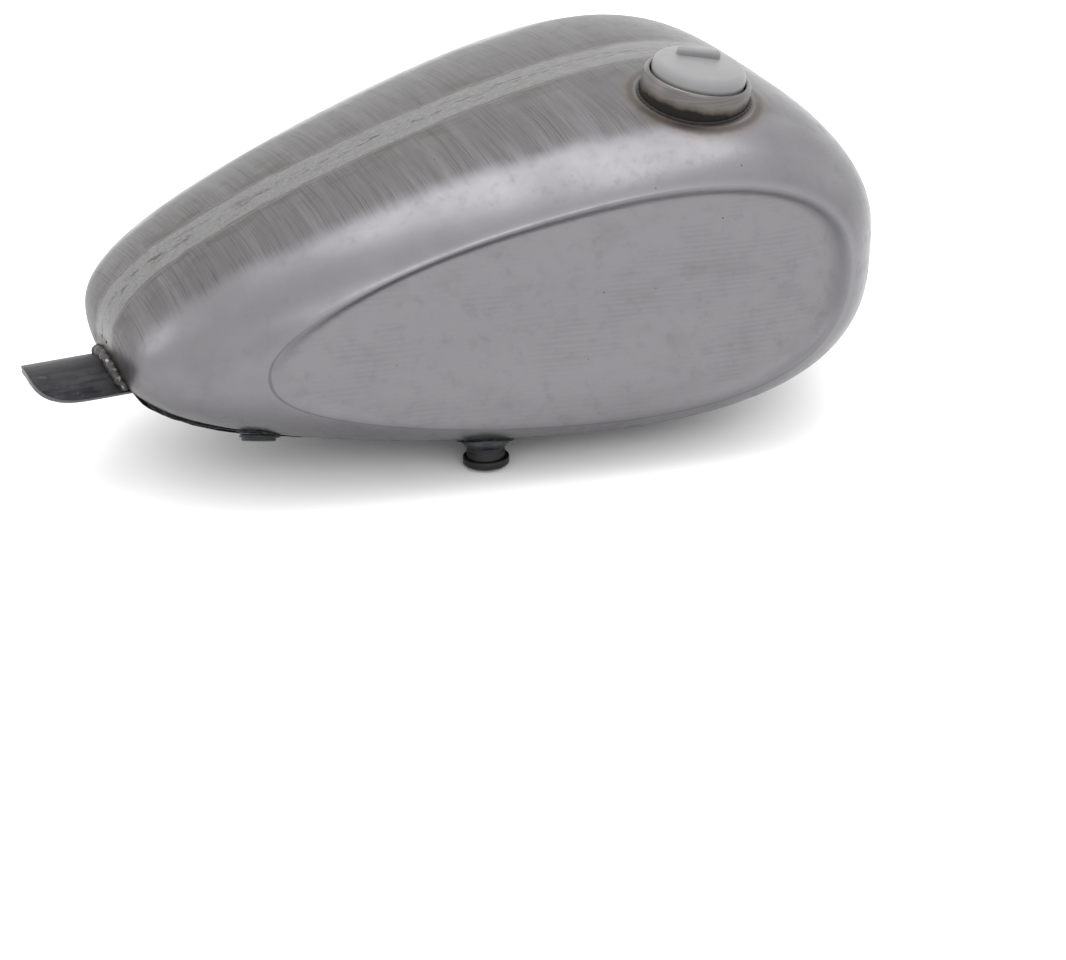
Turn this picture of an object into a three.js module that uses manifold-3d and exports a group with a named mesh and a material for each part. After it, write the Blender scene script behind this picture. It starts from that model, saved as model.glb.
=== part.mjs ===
// A welded steel motorcycle fuel tank: two pressed shells with dished sides around a frame tunnel.
// Millimetres. +X points forward to the wide end, +Y to the rider's left, +Z up. The origin is on the
// ground under the middle of the tank.
import * as THREE from 'three';
import { mergeVertices } from 'three/addons/utils/BufferGeometryUtils.js';
import Module from 'manifold-3d';

const wasm = await Module();
wasm.setup();

// ---------- Driving dimensions ----------

const LENGTH = 440; // shells, tip to tip
const TIP_RISE = 25; // the front tip is this much higher than the rear tip
const SHEET = 2;
const GAP = 0.3; // clearance kept between neighbouring pieces

// Each outline grows from both tips as a power of the distance, times a cubic with these four values.
const CROWN = { rear: 0.41, front: 0.52, full: [118, 150, 194, 330] };
const BELLY = { rear: 0.31, front: 0.48, full: [94, 139, 158, 263] };
const BREADTH = { rear: 0.22, front: 0.23, full: [136, 154, 194, 250] };

// Cross-sections are superellipses, rounder at the rear and squarer at the front.
const CROWN_POWER = [2.45, 3.35];
const BELLY_POWER = [2.05, 3.3];

// The dished panel on each side: an egg outline seen from the side, with its fat end forward.
const DISH = {
  x: 231, z: 17, halfLength: 168.5, halfHeight: 64.5, tilt: 4.7, taper: 0.305, power: 2.2,
  edgeDepth: 3.6, edgeChange: 2, wall: 0.12, middleDepth: 17,
};
const DISH_RINGS = [0.15, 0.55, 0.86, 0.94, 1];
const OUTER_RINGS = 7;

const SEAM = { width: 5 };
const TUNNEL = { rearHalf: 36.5, frontHalf: 40.5, roof: -9.2, archHeight: 28, wall: 2, fin: 4.5, top: -24 };
const SADDLE = { radius: 35, wall: 4, crown: -11.6, halfWidth: 25.2 };
const REAR_SADDLE = { tip: -46, inner: 103, tongue: 36, power: 4.5 };
const FRONT_SADDLE = { tip: 485, inner: 414, tongue: 20, power: 2.4 };

const NECK = { x: 329.5, y: -65.5, axis: [0.134, -0.1, 1], radius: 31, bore: 27.2, rise: 10, drop: 12 };
const CAP = { radius: 26.8, rise: 8.2, depth: 13, wall: 2.3 };
const TAB = { length: 25, width: 6, height: 5, offset: 8.6, turn: -16 };
const PETCOCK = { face: [198.5, -76, -69], axis: [0, -0.1, -0.995], radius: 15.6, lip: 12.6, bore: 11.3, depth: 18 };
const PETCOCK_PLUG = { neck: 11, neckLength: 7.5, head: 13.4, headHeight: 5, insert: 8 };
const CROSSOVER = { x: 68.5, y: 57.5, axis: [-0.2, 0.44, -0.875], radius: 10.5, bore: 6.8, rise: 1.5, depth: 9 };
const CROSSOVER_PLUG = { flange: 10.9, disc: 9.6, flangeHeight: 1.2, height: 3, stem: 6.4, insert: 7 };
const BEAD = { tunnel: 3, neck: 3.4, petcock: 3, crossover: 2.6, saddle: 5, tack: 4 };

// ---------- Body shape ----------

const cubic = (u, c) => {
  const v = 1 - u;
  return v * v * v * c[0] + 3 * u * v * v * c[1] + 3 * u * u * v * c[2] + u * u * u * c[3];
};
const swell = (u, curve) => u ** curve.rear * (1 - u) ** curve.front * cubic(u, curve.full);
const mix = (range, u) => range[0] + (range[1] - range[0]) * u;

function section(x) {
  const u = THREE.MathUtils.clamp(x / LENGTH, 1e-6, 1 - 1e-6);
  return {
    middle: TIP_RISE * u,
    up: swell(u, CROWN),
    down: swell(u, BELLY),
    half: swell(u, BREADTH),
    crownPower: mix(CROWN_POWER, u),
    bellyPower: mix(BELLY_POWER, u),
  };
}

// How deep the dished panel lies under the plain side, by reach (0 in its middle, 1 on its crest) and angle.
function dishDepth(reach, angle) {
  const facing = 0.6 * Math.cos(angle) + 0.8 * Math.sin(angle);
  const edge = DISH.edgeDepth + DISH.edgeChange * facing;
  return edge * THREE.MathUtils.smoothstep((1 - reach) / DISH.wall, 0, 1) + DISH.middleDepth * (1 - reach ** 2);
}

// A place on the dished panel seen from the side.
function dishPlace(reach, angle) {
  const cos = Math.cos(angle);
  const sin = Math.sin(angle);
  const spread = reach * (Math.abs(cos) ** DISH.power + Math.abs(sin) ** DISH.power) ** (-1 / DISH.power);
  const along = DISH.halfLength * spread * cos;
  const across = DISH.halfHeight * (1 + DISH.taper * spread * cos) * spread * sin;
  const tilt = THREE.MathUtils.degToRad(DISH.tilt);
  const x = DISH.x + along * Math.cos(tilt) - across * Math.sin(tilt);
  const z = DISH.z + along * Math.sin(tilt) + across * Math.cos(tilt);
  return new THREE.Vector3(x, 0, z);
}

// Half the plain body's width at a place seen from the side.
function halfWidth(x, z) {
  const s = section(x);
  const rise = z - s.middle;
  const power = rise >= 0 ? s.crownPower : s.bellyPower;
  const part = Math.abs(rise) / (rise >= 0 ? s.up : s.down);
  return s.half * Math.max(1 - part ** power, 0) ** (1 / power);
}

// Over 1 outside the plain body, under 1 inside it.
function bodyMeasure(point) {
  if (point.x <= 0 || point.x >= LENGTH) return 2;
  const s = section(point.x);
  const rise = point.z - s.middle;
  const power = rise >= 0 ? s.crownPower : s.bellyPower;
  return (Math.abs(point.y) / s.half) ** power + (Math.abs(rise) / (rise >= 0 ? s.up : s.down)) ** power;
}

// Where a line that starts inside the body comes out through its skin.
function surfaceHit(start, direction) {
  let inside = 0;
  let outside = 300;
  for (let step = 0; step < 40; step++) {
    const middle = (inside + outside) / 2;
    if (bodyMeasure(start.clone().addScaledVector(direction, middle)) < 1) inside = middle;
    else outside = middle;
  }
  return start.clone().addScaledVector(direction, inside);
}

const crownHeight = (x, y) => surfaceHit(new THREE.Vector3(x, y, 30), new THREE.Vector3(0, 0, 1)).z;
const bellyHeight = (x, y) => surfaceHit(new THREE.Vector3(x, y, section(x).middle), new THREE.Vector3(0, 0, -1)).z;

// ---------- Solids ----------

function signedVolume(geometry) {
  const position = geometry.getAttribute('position');
  const index = geometry.getIndex();
  const [a, b, c] = [new THREE.Vector3(), new THREE.Vector3(), new THREE.Vector3()];
  let volume = 0;
  for (let i = 0; i < index.count; i += 3) {
    a.fromBufferAttribute(position, index.getX(i));
    b.fromBufferAttribute(position, index.getX(i + 1));
    c.fromBufferAttribute(position, index.getX(i + 2));
    volume += a.dot(b.cross(c)) / 6;
  }
  return volume;
}

// Skins a list of rings with the same number of points. Open ends are closed by a fan.
function loft(rings, isLoop = false) {
  const count = rings[0].length;
  const points = rings.flat();
  const index = [];
  const spans = isLoop ? rings.length : rings.length - 1;
  for (let i = 0; i < spans; i++) {
    const near = i * count;
    const far = ((i + 1) % rings.length) * count;
    for (let j = 0; j < count; j++) {
      const k = (j + 1) % count;
      index.push(near + j, near + k, far + k, near + j, far + k, far + j);
    }
  }
  for (const [ring, isFirst] of isLoop ? [] : [[0, true], [rings.length - 1, false]]) {
    const centre = rings[ring].reduce((sum, p) => sum.add(p), new THREE.Vector3()).divideScalar(count);
    points.push(centre);
    for (let j = 0; j < count; j++) {
      const a = ring * count + j;
      const b = ring * count + ((j + 1) % count);
      index.push(...(isFirst ? [b, a] : [a, b]), points.length - 1);
    }
  }
  const geometry = new THREE.BufferGeometry().setFromPoints(points);
  geometry.setIndex(index);
  if (signedVolume(geometry) < 0) geometry.setIndex(index.reverse());
  return geometry;
}

function toSolid(geometry) {
  const bare = geometry.clone();
  bare.deleteAttribute('normal');
  bare.deleteAttribute('uv');
  const merged = mergeVertices(bare, 1e-4);
  const vertProperties = new Float32Array(merged.getAttribute('position').array);
  const triVerts = new Uint32Array(merged.getIndex().array);
  return new wasm.Manifold(new wasm.Mesh({ numProp: 3, vertProperties, triVerts }));
}

function toGeometry(solid) {
  const pieces = solid.decompose().sort((a, b) => b.volume() - a.volume());
  const { vertProperties, triVerts } = pieces[0].getMesh();
  const geometry = new THREE.BufferGeometry();
  geometry.setAttribute('position', new THREE.BufferAttribute(new Float32Array(vertProperties), 3));
  geometry.setIndex(new THREE.BufferAttribute(new Uint32Array(triVerts), 1));
  geometry.computeVertexNormals();
  return geometry;
}

function box(low, high) {
  const size = new THREE.Vector3(...high).sub(new THREE.Vector3(...low));
  const centre = new THREE.Vector3(...high).add(new THREE.Vector3(...low)).divideScalar(2);
  return toSolid(new THREE.BoxGeometry(...size).translate(...centre));
}

// Turns +Z to the given direction and moves the origin to a place.
function frameAt(place, direction) {
  const turn = new THREE.Quaternion().setFromUnitVectors(new THREE.Vector3(0, 0, 1), direction);
  return new THREE.Matrix4().compose(place, turn, new THREE.Vector3(1, 1, 1));
}

const rod = (radius, low, high, frame, sides = 28) =>
  toSolid(
    new THREE.CylinderGeometry(radius, radius, high - low, sides)
      .rotateX(Math.PI / 2)
      .translate(0, 0, (high + low) / 2)
      .applyMatrix4(frame),
  );

// A turned piece from [radius, height] corners around its own +Z axis.
function turned(corners, frame, sides = 28) {
  const profile = [...corners, corners[0]].map(([radius, height]) => new THREE.Vector2(radius, height));
  const geometry = new THREE.LatheGeometry(profile, sides).rotateX(Math.PI / 2).applyMatrix4(frame);
  const merged = mergeVertices(stripped(geometry), 1e-4);
  if (signedVolume(merged) < 0) merged.setIndex([...merged.getIndex().array].reverse());
  return toSolid(merged);
}

function stripped(geometry) {
  geometry.deleteAttribute('normal');
  geometry.deleteAttribute('uv');
  return geometry;
}

// One side of the body as rings that spread from the middle of its dished panel to the seam line.
function sideRings(side, dished, around) {
  const middle = new THREE.Vector3(DISH.x, 0, DISH.z);
  const rings = DISH_RINGS.map((reach) =>
    Array.from({ length: around }, (_, j) => {
      const angle = (2 * Math.PI * j) / around;
      const place = dishPlace(reach, angle);
      const width = halfWidth(place.x, place.z) - (dished ? dishDepth(reach, angle) : 0);
      return place.setY(side * width);
    }),
  );
  for (let i = 1; i <= OUTER_RINGS; i++) {
    const left = 1 - i / OUTER_RINGS;
    rings.push(
      Array.from({ length: around }, (_, j) => {
        const angle = (2 * Math.PI * j) / around;
        const crest = dishPlace(1, angle);
        const seam = surfaceHit(middle, crest.clone().sub(middle).normalize());
        const place = seam.lerp(crest, left ** mix([3, 4.2], Math.cos(angle) ** 2));
        return i < OUTER_RINGS ? place.setY(side * halfWidth(place.x, place.z)) : place;
      }),
    );
  }
  return rings;
}

// The plain or dished body as one solid, grown outwards by some millimetres.
function body(grow, dished, around = 44) {
  const left = sideRings(1, dished, around);
  const right = sideRings(-1, dished, around);
  right.pop();
  const geometry = loft([...left, ...right.reverse()]);
  geometry.computeVertexNormals();
  const position = geometry.getAttribute('position');
  const normal = geometry.getAttribute('normal');
  const point = new THREE.Vector3();
  for (let i = 0; i < position.count; i++) {
    point.fromBufferAttribute(normal, i).multiplyScalar(grow);
    position.setXYZ(i, position.getX(i) + point.x, position.getY(i) + point.y, position.getZ(i) + point.z);
  }
  return toSolid(geometry);
}

// The frame tunnel as a solid prism that widens to the front, with an arched roof, grown all round.
function tunnelPrism(grow) {
  const spring = TUNNEL.roof - TUNNEL.archHeight;
  const ringAt = (x) => {
    const half = mix([TUNNEL.rearHalf, TUNNEL.frontHalf], x / LENGTH) + grow;
    const ring = [new THREE.Vector3(x, half, -150), new THREE.Vector3(x, -half, -150)];
    for (let i = 0; i <= 20; i++) {
      const angle = Math.PI * (1 - i / 20);
      const rise = (TUNNEL.archHeight + grow) * Math.sin(angle);
      ring.push(new THREE.Vector3(x, half * Math.cos(angle), spring + rise));
    }
    return ring;
  };
  return toSolid(loft([ringAt(-60), ringAt(LENGTH + 60)]));
}

// A weld bead: a lumpy round bar along a line of points.
function bead(points, radius, isLoop = false, sides = 6) {
  const rings = points.map((point, i) => {
    const last = points.length - 1;
    const before = points[isLoop ? (i + last) % points.length : Math.max(i - 1, 0)];
    const after = points[isLoop ? (i + 1) % points.length : Math.min(i + 1, last)];
    const frame = frameAt(point, after.clone().sub(before).normalize());
    const swollen = radius * (1 + 0.06 * Math.sin(2.4 * i));
    return Array.from({ length: sides }, (_, j) => {
      const angle = (2 * Math.PI * (j + 0.5)) / sides;
      return new THREE.Vector3(swollen * Math.cos(angle), swollen * Math.sin(angle), 0).applyMatrix4(frame);
    });
  });
  return toSolid(loft(rings, isLoop));
}

// The line where a round boss meets the body's skin.
function footprint(frame, radius, count = 18) {
  const direction = new THREE.Vector3(0, 0, 1).transformDirection(frame);
  return Array.from({ length: count }, (_, i) => {
    const angle = (2 * Math.PI * i) / count;
    const start = new THREE.Vector3(radius * Math.cos(angle), radius * Math.sin(angle), -25);
    return surfaceHit(start.applyMatrix4(frame), direction);
  });
}

// ---------- Shells, seam and tunnel ----------

const plainBody = body(0, false);
const dishedBody = body(0, true);
const skin = dishedBody.subtract(body(-SHEET, true));
const clearBody = body(GAP, false);
const tunnelClear = tunnelPrism(GAP);

const neckFrame = frameAt(
  new THREE.Vector3(NECK.x, NECK.y, crownHeight(NECK.x, NECK.y)),
  new THREE.Vector3(...NECK.axis).normalize(),
);
const petcockFrame = frameAt(new THREE.Vector3(...PETCOCK.face), new THREE.Vector3(...PETCOCK.axis).normalize());

function crossoverFrame(side) {
  const [x, y, z] = CROSSOVER.axis;
  const direction = new THREE.Vector3(x, side * y, z).normalize();
  const start = new THREE.Vector3(CROSSOVER.x, side * CROSSOVER.y, bellyHeight(CROSSOVER.x, CROSSOVER.y));
  return frameAt(start, direction);
}

function shell(side) {
  const reach = 300;
  const edge = SEAM.width / 2 + GAP;
  const half = side > 0 ? box([-50, edge, -200], [500, reach, 200]) : box([-50, -reach, -200], [500, -edge, 200]);
  let solid = skin.intersect(half).subtract(tunnelClear);
  solid = solid.subtract(rod(CROSSOVER.radius + GAP, -30, 30, crossoverFrame(side)));
  if (side < 0) {
    solid = solid.subtract(rod(NECK.radius + GAP, -30, 30, neckFrame));
    solid = solid.subtract(rod(PETCOCK.radius + GAP, -30, 30, petcockFrame));
  }
  return solid;
}

function seamWeld() {
  const half = SEAM.width / 2;
  return skin.intersect(box([-50, -half, -200], [500, half, 200])).subtract(tunnelClear);
}

// The bent channel stands proud of the shells as a fin along both lower edges.
function tunnel() {
  const channel = tunnelPrism(0).subtract(tunnelPrism(-TUNNEL.wall));
  const fins = body(TUNNEL.fin, false).intersect(box([-50, -100, -200], [500, 100, TUNNEL.top]));
  return channel.intersect(plainBody.add(fins));
}

function tunnelWeld(side) {
  const count = 26;
  const points = Array.from({ length: count }, (_, i) => {
    const x = mix([14, 424], (1 - Math.cos((Math.PI * i) / (count - 1))) / 2);
    const y = mix([TUNNEL.rearHalf, TUNNEL.frontHalf], x / LENGTH) + 0.6;
    return new THREE.Vector3(x, side * y, bellyHeight(x, y));
  });
  return bead(points, BEAD.tunnel).subtract(clearBody).subtract(tunnelClear);
}

// ---------- Saddles ----------

const saddleCentre = SADDLE.crown - SADDLE.radius;

// A length of split pipe, open side down, with rounded corners at its outer end.
function saddle({ tip, inner, tongue, power }) {
  const reach = Math.asin(SADDLE.halfWidth / SADDLE.radius);
  const profile = new THREE.Shape();
  profile.absarc(0, 0, SADDLE.radius, Math.PI / 2 - reach, Math.PI / 2 + reach, false);
  profile.absarc(0, 0, SADDLE.radius - SADDLE.wall, Math.PI / 2 + reach, Math.PI / 2 - reach, true);
  const length = Math.abs(inner - tip);
  const bar = new THREE.ExtrudeGeometry(profile, { depth: length, bevelEnabled: false, curveSegments: 16 });
  const axes = new THREE.Matrix4().makeBasis(
    new THREE.Vector3(0, 1, 0),
    new THREE.Vector3(0, 0, 1),
    new THREE.Vector3(1, 0, 0),
  );
  bar.applyMatrix4(axes).translate(Math.min(inner, tip), 0, saddleCentre);

  const inward = Math.sign(inner - tip);
  const outline = [];
  for (let i = -16; i <= 16; i++) {
    const across = Math.sin((Math.PI / 2) * (i / 16));
    const back = tongue * (1 - (1 - Math.abs(across) ** power) ** (1 / power));
    outline.push(new THREE.Vector2(tip + inward * back, across * SADDLE.halfWidth));
  }
  outline.push(new THREE.Vector2(inner + inward, SADDLE.halfWidth + 1));
  outline.push(new THREE.Vector2(inner + inward, -SADDLE.halfWidth - 1));
  const plan = new THREE.ExtrudeGeometry(new THREE.Shape(outline), { depth: 100, bevelEnabled: false });
  return toSolid(bar).intersect(toSolid(plan.translate(0, 0, -80)));
}

// The bead that closes a shell's end around the saddle.
function saddleWeld(end) {
  const count = 18;
  const reach = Math.asin(SADDLE.halfWidth / SADDLE.radius) * 0.97;
  const isRear = end < LENGTH / 2;
  const points = Array.from({ length: count }, (_, i) => {
    const angle = mix([-reach, reach], i / (count - 1));
    const y = SADDLE.radius * Math.sin(angle);
    const z = saddleCentre + SADDLE.radius * Math.cos(angle) + 1;
    const start = new THREE.Vector3(LENGTH / 2, y, z);
    return surfaceHit(start, new THREE.Vector3(isRear ? -1 : 1, 0, 0));
  });
  const middle = frameAt(new THREE.Vector3(0, 0, saddleCentre), new THREE.Vector3(1, 0, 0));
  const core = rod(SADDLE.radius + GAP, -100, 600, middle, 64);
  return bead(points, BEAD.saddle).subtract(clearBody).subtract(core);
}

// The short bead at a saddle's inner end, under the tunnel roof.
function saddleTack(inner, inward) {
  const z = SADDLE.crown - BEAD.tack - 0.5;
  const x = inner + inward * (BEAD.tack + GAP);
  const points = Array.from({ length: 5 }, (_, i) => new THREE.Vector3(x, mix([-7, 7], i / 4), z));
  return bead(points, BEAD.tack, false, 10);
}

// ---------- Filler, petcock and crossover fittings ----------

function fillerNeck() {
  const { radius, bore, rise, drop } = NECK;
  const corners = [
    [bore, -drop], [radius, -drop], [radius, rise - 1.6], [radius - 1, rise - 0.4],
    [radius - 2, rise], [bore + 0.8, rise], [bore, rise - 0.8],
  ];
  return turned(corners, neckFrame, 36);
}

function fillerCap() {
  const { radius, rise, depth, wall } = CAP;
  const top = NECK.rise + rise;
  const corners = [
    [0, top], [radius * 0.55, top - 0.35], [radius - 3.6, top - 1], [radius - 1.4, top - 2],
    [radius - 0.4, top - 3.4], [radius, top - 5.2], [radius - 0.4, NECK.rise - depth],
    [radius - wall, NECK.rise - depth], [radius - wall, top - wall - 3],
    [radius - wall - 3, top - wall - 1], [0, top - wall - 1],
  ];
  const tab = toSolid(
    new THREE.BoxGeometry(TAB.length, TAB.width, TAB.height + 2)
      .translate(0, TAB.offset, top + TAB.height / 2 - 2)
      .rotateZ(THREE.MathUtils.degToRad(TAB.turn))
      .applyMatrix4(neckFrame),
  );
  return turned(corners, neckFrame, 36).add(tab);
}

function petcockBung() {
  const { radius, lip, bore, depth } = PETCOCK;
  const corners = [[bore, 0], [lip, 0], [radius, -3.7], [radius, -depth], [bore, -depth]];
  return turned(corners, petcockFrame);
}

function petcockPlug() {
  const { neck, neckLength, head, headHeight, insert } = PETCOCK_PLUG;
  const end = neckLength + headHeight;
  const corners = [
    [0, end], [head - 1, end], [head, end - 1], [head, neckLength + 0.6], [head - 0.6, neckLength],
    [neck, neckLength], [neck, -insert], [0, -insert],
  ];
  return turned(corners, petcockFrame);
}

function crossoverBung(side) {
  const { radius, bore, rise, depth } = CROSSOVER;
  const corners = [[bore, rise], [radius - 0.6, rise], [radius, rise - 0.6], [radius, -depth], [bore, -depth]];
  return turned(corners, crossoverFrame(side), 20);
}

function crossoverPlug(side) {
  const { flange, disc, flangeHeight, height, stem, insert } = CROSSOVER_PLUG;
  const base = CROSSOVER.rise + GAP;
  const corners = [
    [0, base + height], [disc - 0.8, base + height], [disc, base + height - 0.8], [disc, base + flangeHeight],
    [flange, base + flangeHeight], [flange, base], [stem, base], [stem, base - insert], [0, base - insert],
  ];
  return turned(corners, crossoverFrame(side), 20);
}

function bossWeld(frame, radius, thickness) {
  const ring = bead(footprint(frame, radius + 0.4), thickness, true);
  return ring.subtract(clearBody).subtract(rod(radius + GAP, -40, 40, frame, 28));
}

function crossoverWeld(side) {
  const frame = crossoverFrame(side);
  const plugRoom = rod(CROSSOVER_PLUG.flange + GAP, CROSSOVER.rise, 20, frame);
  return bossWeld(frame, CROSSOVER.radius, BEAD.crossover).subtract(plugRoom);
}

// ---------- Materials and assembly ----------

const finish = (colour, roughness, metalness) =>
  new THREE.MeshStandardMaterial({ color: colour, roughness, metalness });
const bareSteel = finish(0x9a9a9c, 0.42, 1);
const scaleSteel = finish(0x45464a, 0.5, 0.9);
const burntWeld = finish(0x2a2624, 0.6, 0.8);
const brightWeld = finish(0x6e6e70, 0.45, 0.95);
const whitePlastic = finish(0xe2e2de, 0.45, 0);
const blackPlastic = finish(0x17181a, 0.55, 0);

const tank = new THREE.Group();
// The tank's own axes start at the rear tip; this lifts it off the ground and centres it.
const underside = petcockPlug().boundingBox().min[2];
tank.position.set(-(REAR_SADDLE.tip + FRONT_SADDLE.tip) / 2, 0, -underside);

function addPiece(name, solid, material) {
  const mesh = new THREE.Mesh(toGeometry(solid), material);
  mesh.name = name;
  tank.add(mesh);
}

addPiece('top_seam_weld', seamWeld(), bareSteel);
addPiece('tunnel', tunnel(), scaleSteel);
addPiece('rear_saddle', saddle(REAR_SADDLE), scaleSteel);
addPiece('front_saddle', saddle(FRONT_SADDLE), scaleSteel);
addPiece('rear_saddle_weld', saddleWeld(0), brightWeld);
addPiece('front_saddle_weld', saddleWeld(LENGTH), brightWeld);
addPiece('rear_saddle_tack', saddleTack(REAR_SADDLE.inner, 1), burntWeld);
addPiece('front_saddle_tack', saddleTack(FRONT_SADDLE.inner, -1), burntWeld);
addPiece('filler_neck', fillerNeck(), bareSteel);
addPiece('filler_neck_weld', bossWeld(neckFrame, NECK.radius, BEAD.neck), burntWeld);
addPiece('filler_cap', fillerCap(), whitePlastic);
addPiece('petcock_bung', petcockBung(), scaleSteel);
addPiece('petcock_bung_weld', bossWeld(petcockFrame, PETCOCK.radius, BEAD.petcock), burntWeld);
addPiece('petcock_plug', petcockPlug(), blackPlastic);
for (const [side, word] of [[-1, 'right'], [1, 'left']]) {
  addPiece(`${word}_shell`, shell(side), bareSteel);
  addPiece(`tunnel_weld_${word}`, tunnelWeld(side), burntWeld);
  addPiece(`crossover_bung_${word}`, crossoverBung(side), scaleSteel);
  addPiece(`crossover_weld_${word}`, crossoverWeld(side), burntWeld);
  addPiece(`crossover_plug_${word}`, crossoverPlug(side), blackPlastic);
}

export default tank;
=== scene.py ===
"""Looks of a welded steel motorcycle fuel tank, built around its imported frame.

Sizes are in the tank's own millimetres: x runs forward from the rear tip of the shells, y to the
rider's left and z up from the rear tip's middle. Meshes are brought to the row frame when done.
"""

import logging
import math
from collections.abc import Callable, Sequence
from dataclasses import dataclass
from enum import Enum

import bmesh
import bpy
from mathutils import Matrix, Vector, noise


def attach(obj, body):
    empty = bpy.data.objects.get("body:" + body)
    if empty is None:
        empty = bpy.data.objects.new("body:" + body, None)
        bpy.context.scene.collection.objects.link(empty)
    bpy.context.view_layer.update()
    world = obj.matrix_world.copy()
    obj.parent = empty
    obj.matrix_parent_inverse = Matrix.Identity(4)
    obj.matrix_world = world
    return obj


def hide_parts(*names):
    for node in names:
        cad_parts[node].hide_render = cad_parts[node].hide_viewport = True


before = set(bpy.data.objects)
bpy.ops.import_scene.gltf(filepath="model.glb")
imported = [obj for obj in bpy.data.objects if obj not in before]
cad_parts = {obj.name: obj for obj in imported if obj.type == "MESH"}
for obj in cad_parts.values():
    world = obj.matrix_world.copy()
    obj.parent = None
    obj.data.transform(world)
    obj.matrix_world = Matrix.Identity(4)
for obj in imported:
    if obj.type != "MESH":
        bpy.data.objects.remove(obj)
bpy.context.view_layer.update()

Triple = tuple[float, float, float]
Colour = Triple

LOG = logging.getLogger("tank")
REAR_TO_MIDDLE = 219.5
REAR_TO_GROUND = 82.69
ROW_SHIFT = Matrix.Translation((-REAR_TO_MIDDLE / 1000, 0.0, REAR_TO_GROUND / 1000))
TANK_TO_ROW = ROW_SHIFT @ Matrix.Scale(0.001, 4)

NECK_PLACE = (329.5, -65.5)
OUTLET_PLACE = (198.5, -76.0)
OUTLET_FACE = -69.0
CROSSOVER_PLACE = (68.5, 57.5)


def mix(low: float, high: float, part: float) -> float:
    """Blend from low to high."""
    return low + (high - low) * part


def smooth(value: float, low: float, high: float) -> float:
    """Smooth step from 0 at low to 1 at high.

    Args:
        value: Where to read the step.
        low: The value where it leaves 0.
        high: The value where it reaches 1.

    Returns:
        A number from 0 to 1.
    """
    part = min(max((value - low) / (high - low), 0.0), 1.0)
    return part * part * (3 - 2 * part)


def wobble(x: float, y: float, z: float, scale: float) -> float:
    """Steady noise between about -1 and 1 at a place, with features of the given size."""
    return noise.noise(Vector((x, y, z)) / scale)


# ---------------------------------------------------------------- shape of the body


class Side(Enum):
    """The rider's right or left, as the sign of y."""

    RIGHT = -1
    LEFT = 1

    @property
    def word(self) -> str:
        """The side's name in piece names."""
        return self.name.lower()


@dataclass(frozen=True)
class Outline:
    """One outline of the body along its length."""

    rear: float
    front: float
    full: tuple[float, float, float, float]

    def at(self, part: float) -> float:
        """Distance from the middle line at a part (0 to 1) of the length."""
        rest = 1 - part
        a, b, c, d = self.full
        cubic = rest**3 * a + 3 * part * rest**2 * b + 3 * part**2 * rest * c + part**3 * d
        return part**self.rear * rest**self.front * cubic


@dataclass(frozen=True)
class Section:
    """The body's cross-section at one place along it."""

    middle: float
    up: float
    down: float
    half: float
    crown_power: float
    belly_power: float


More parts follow.
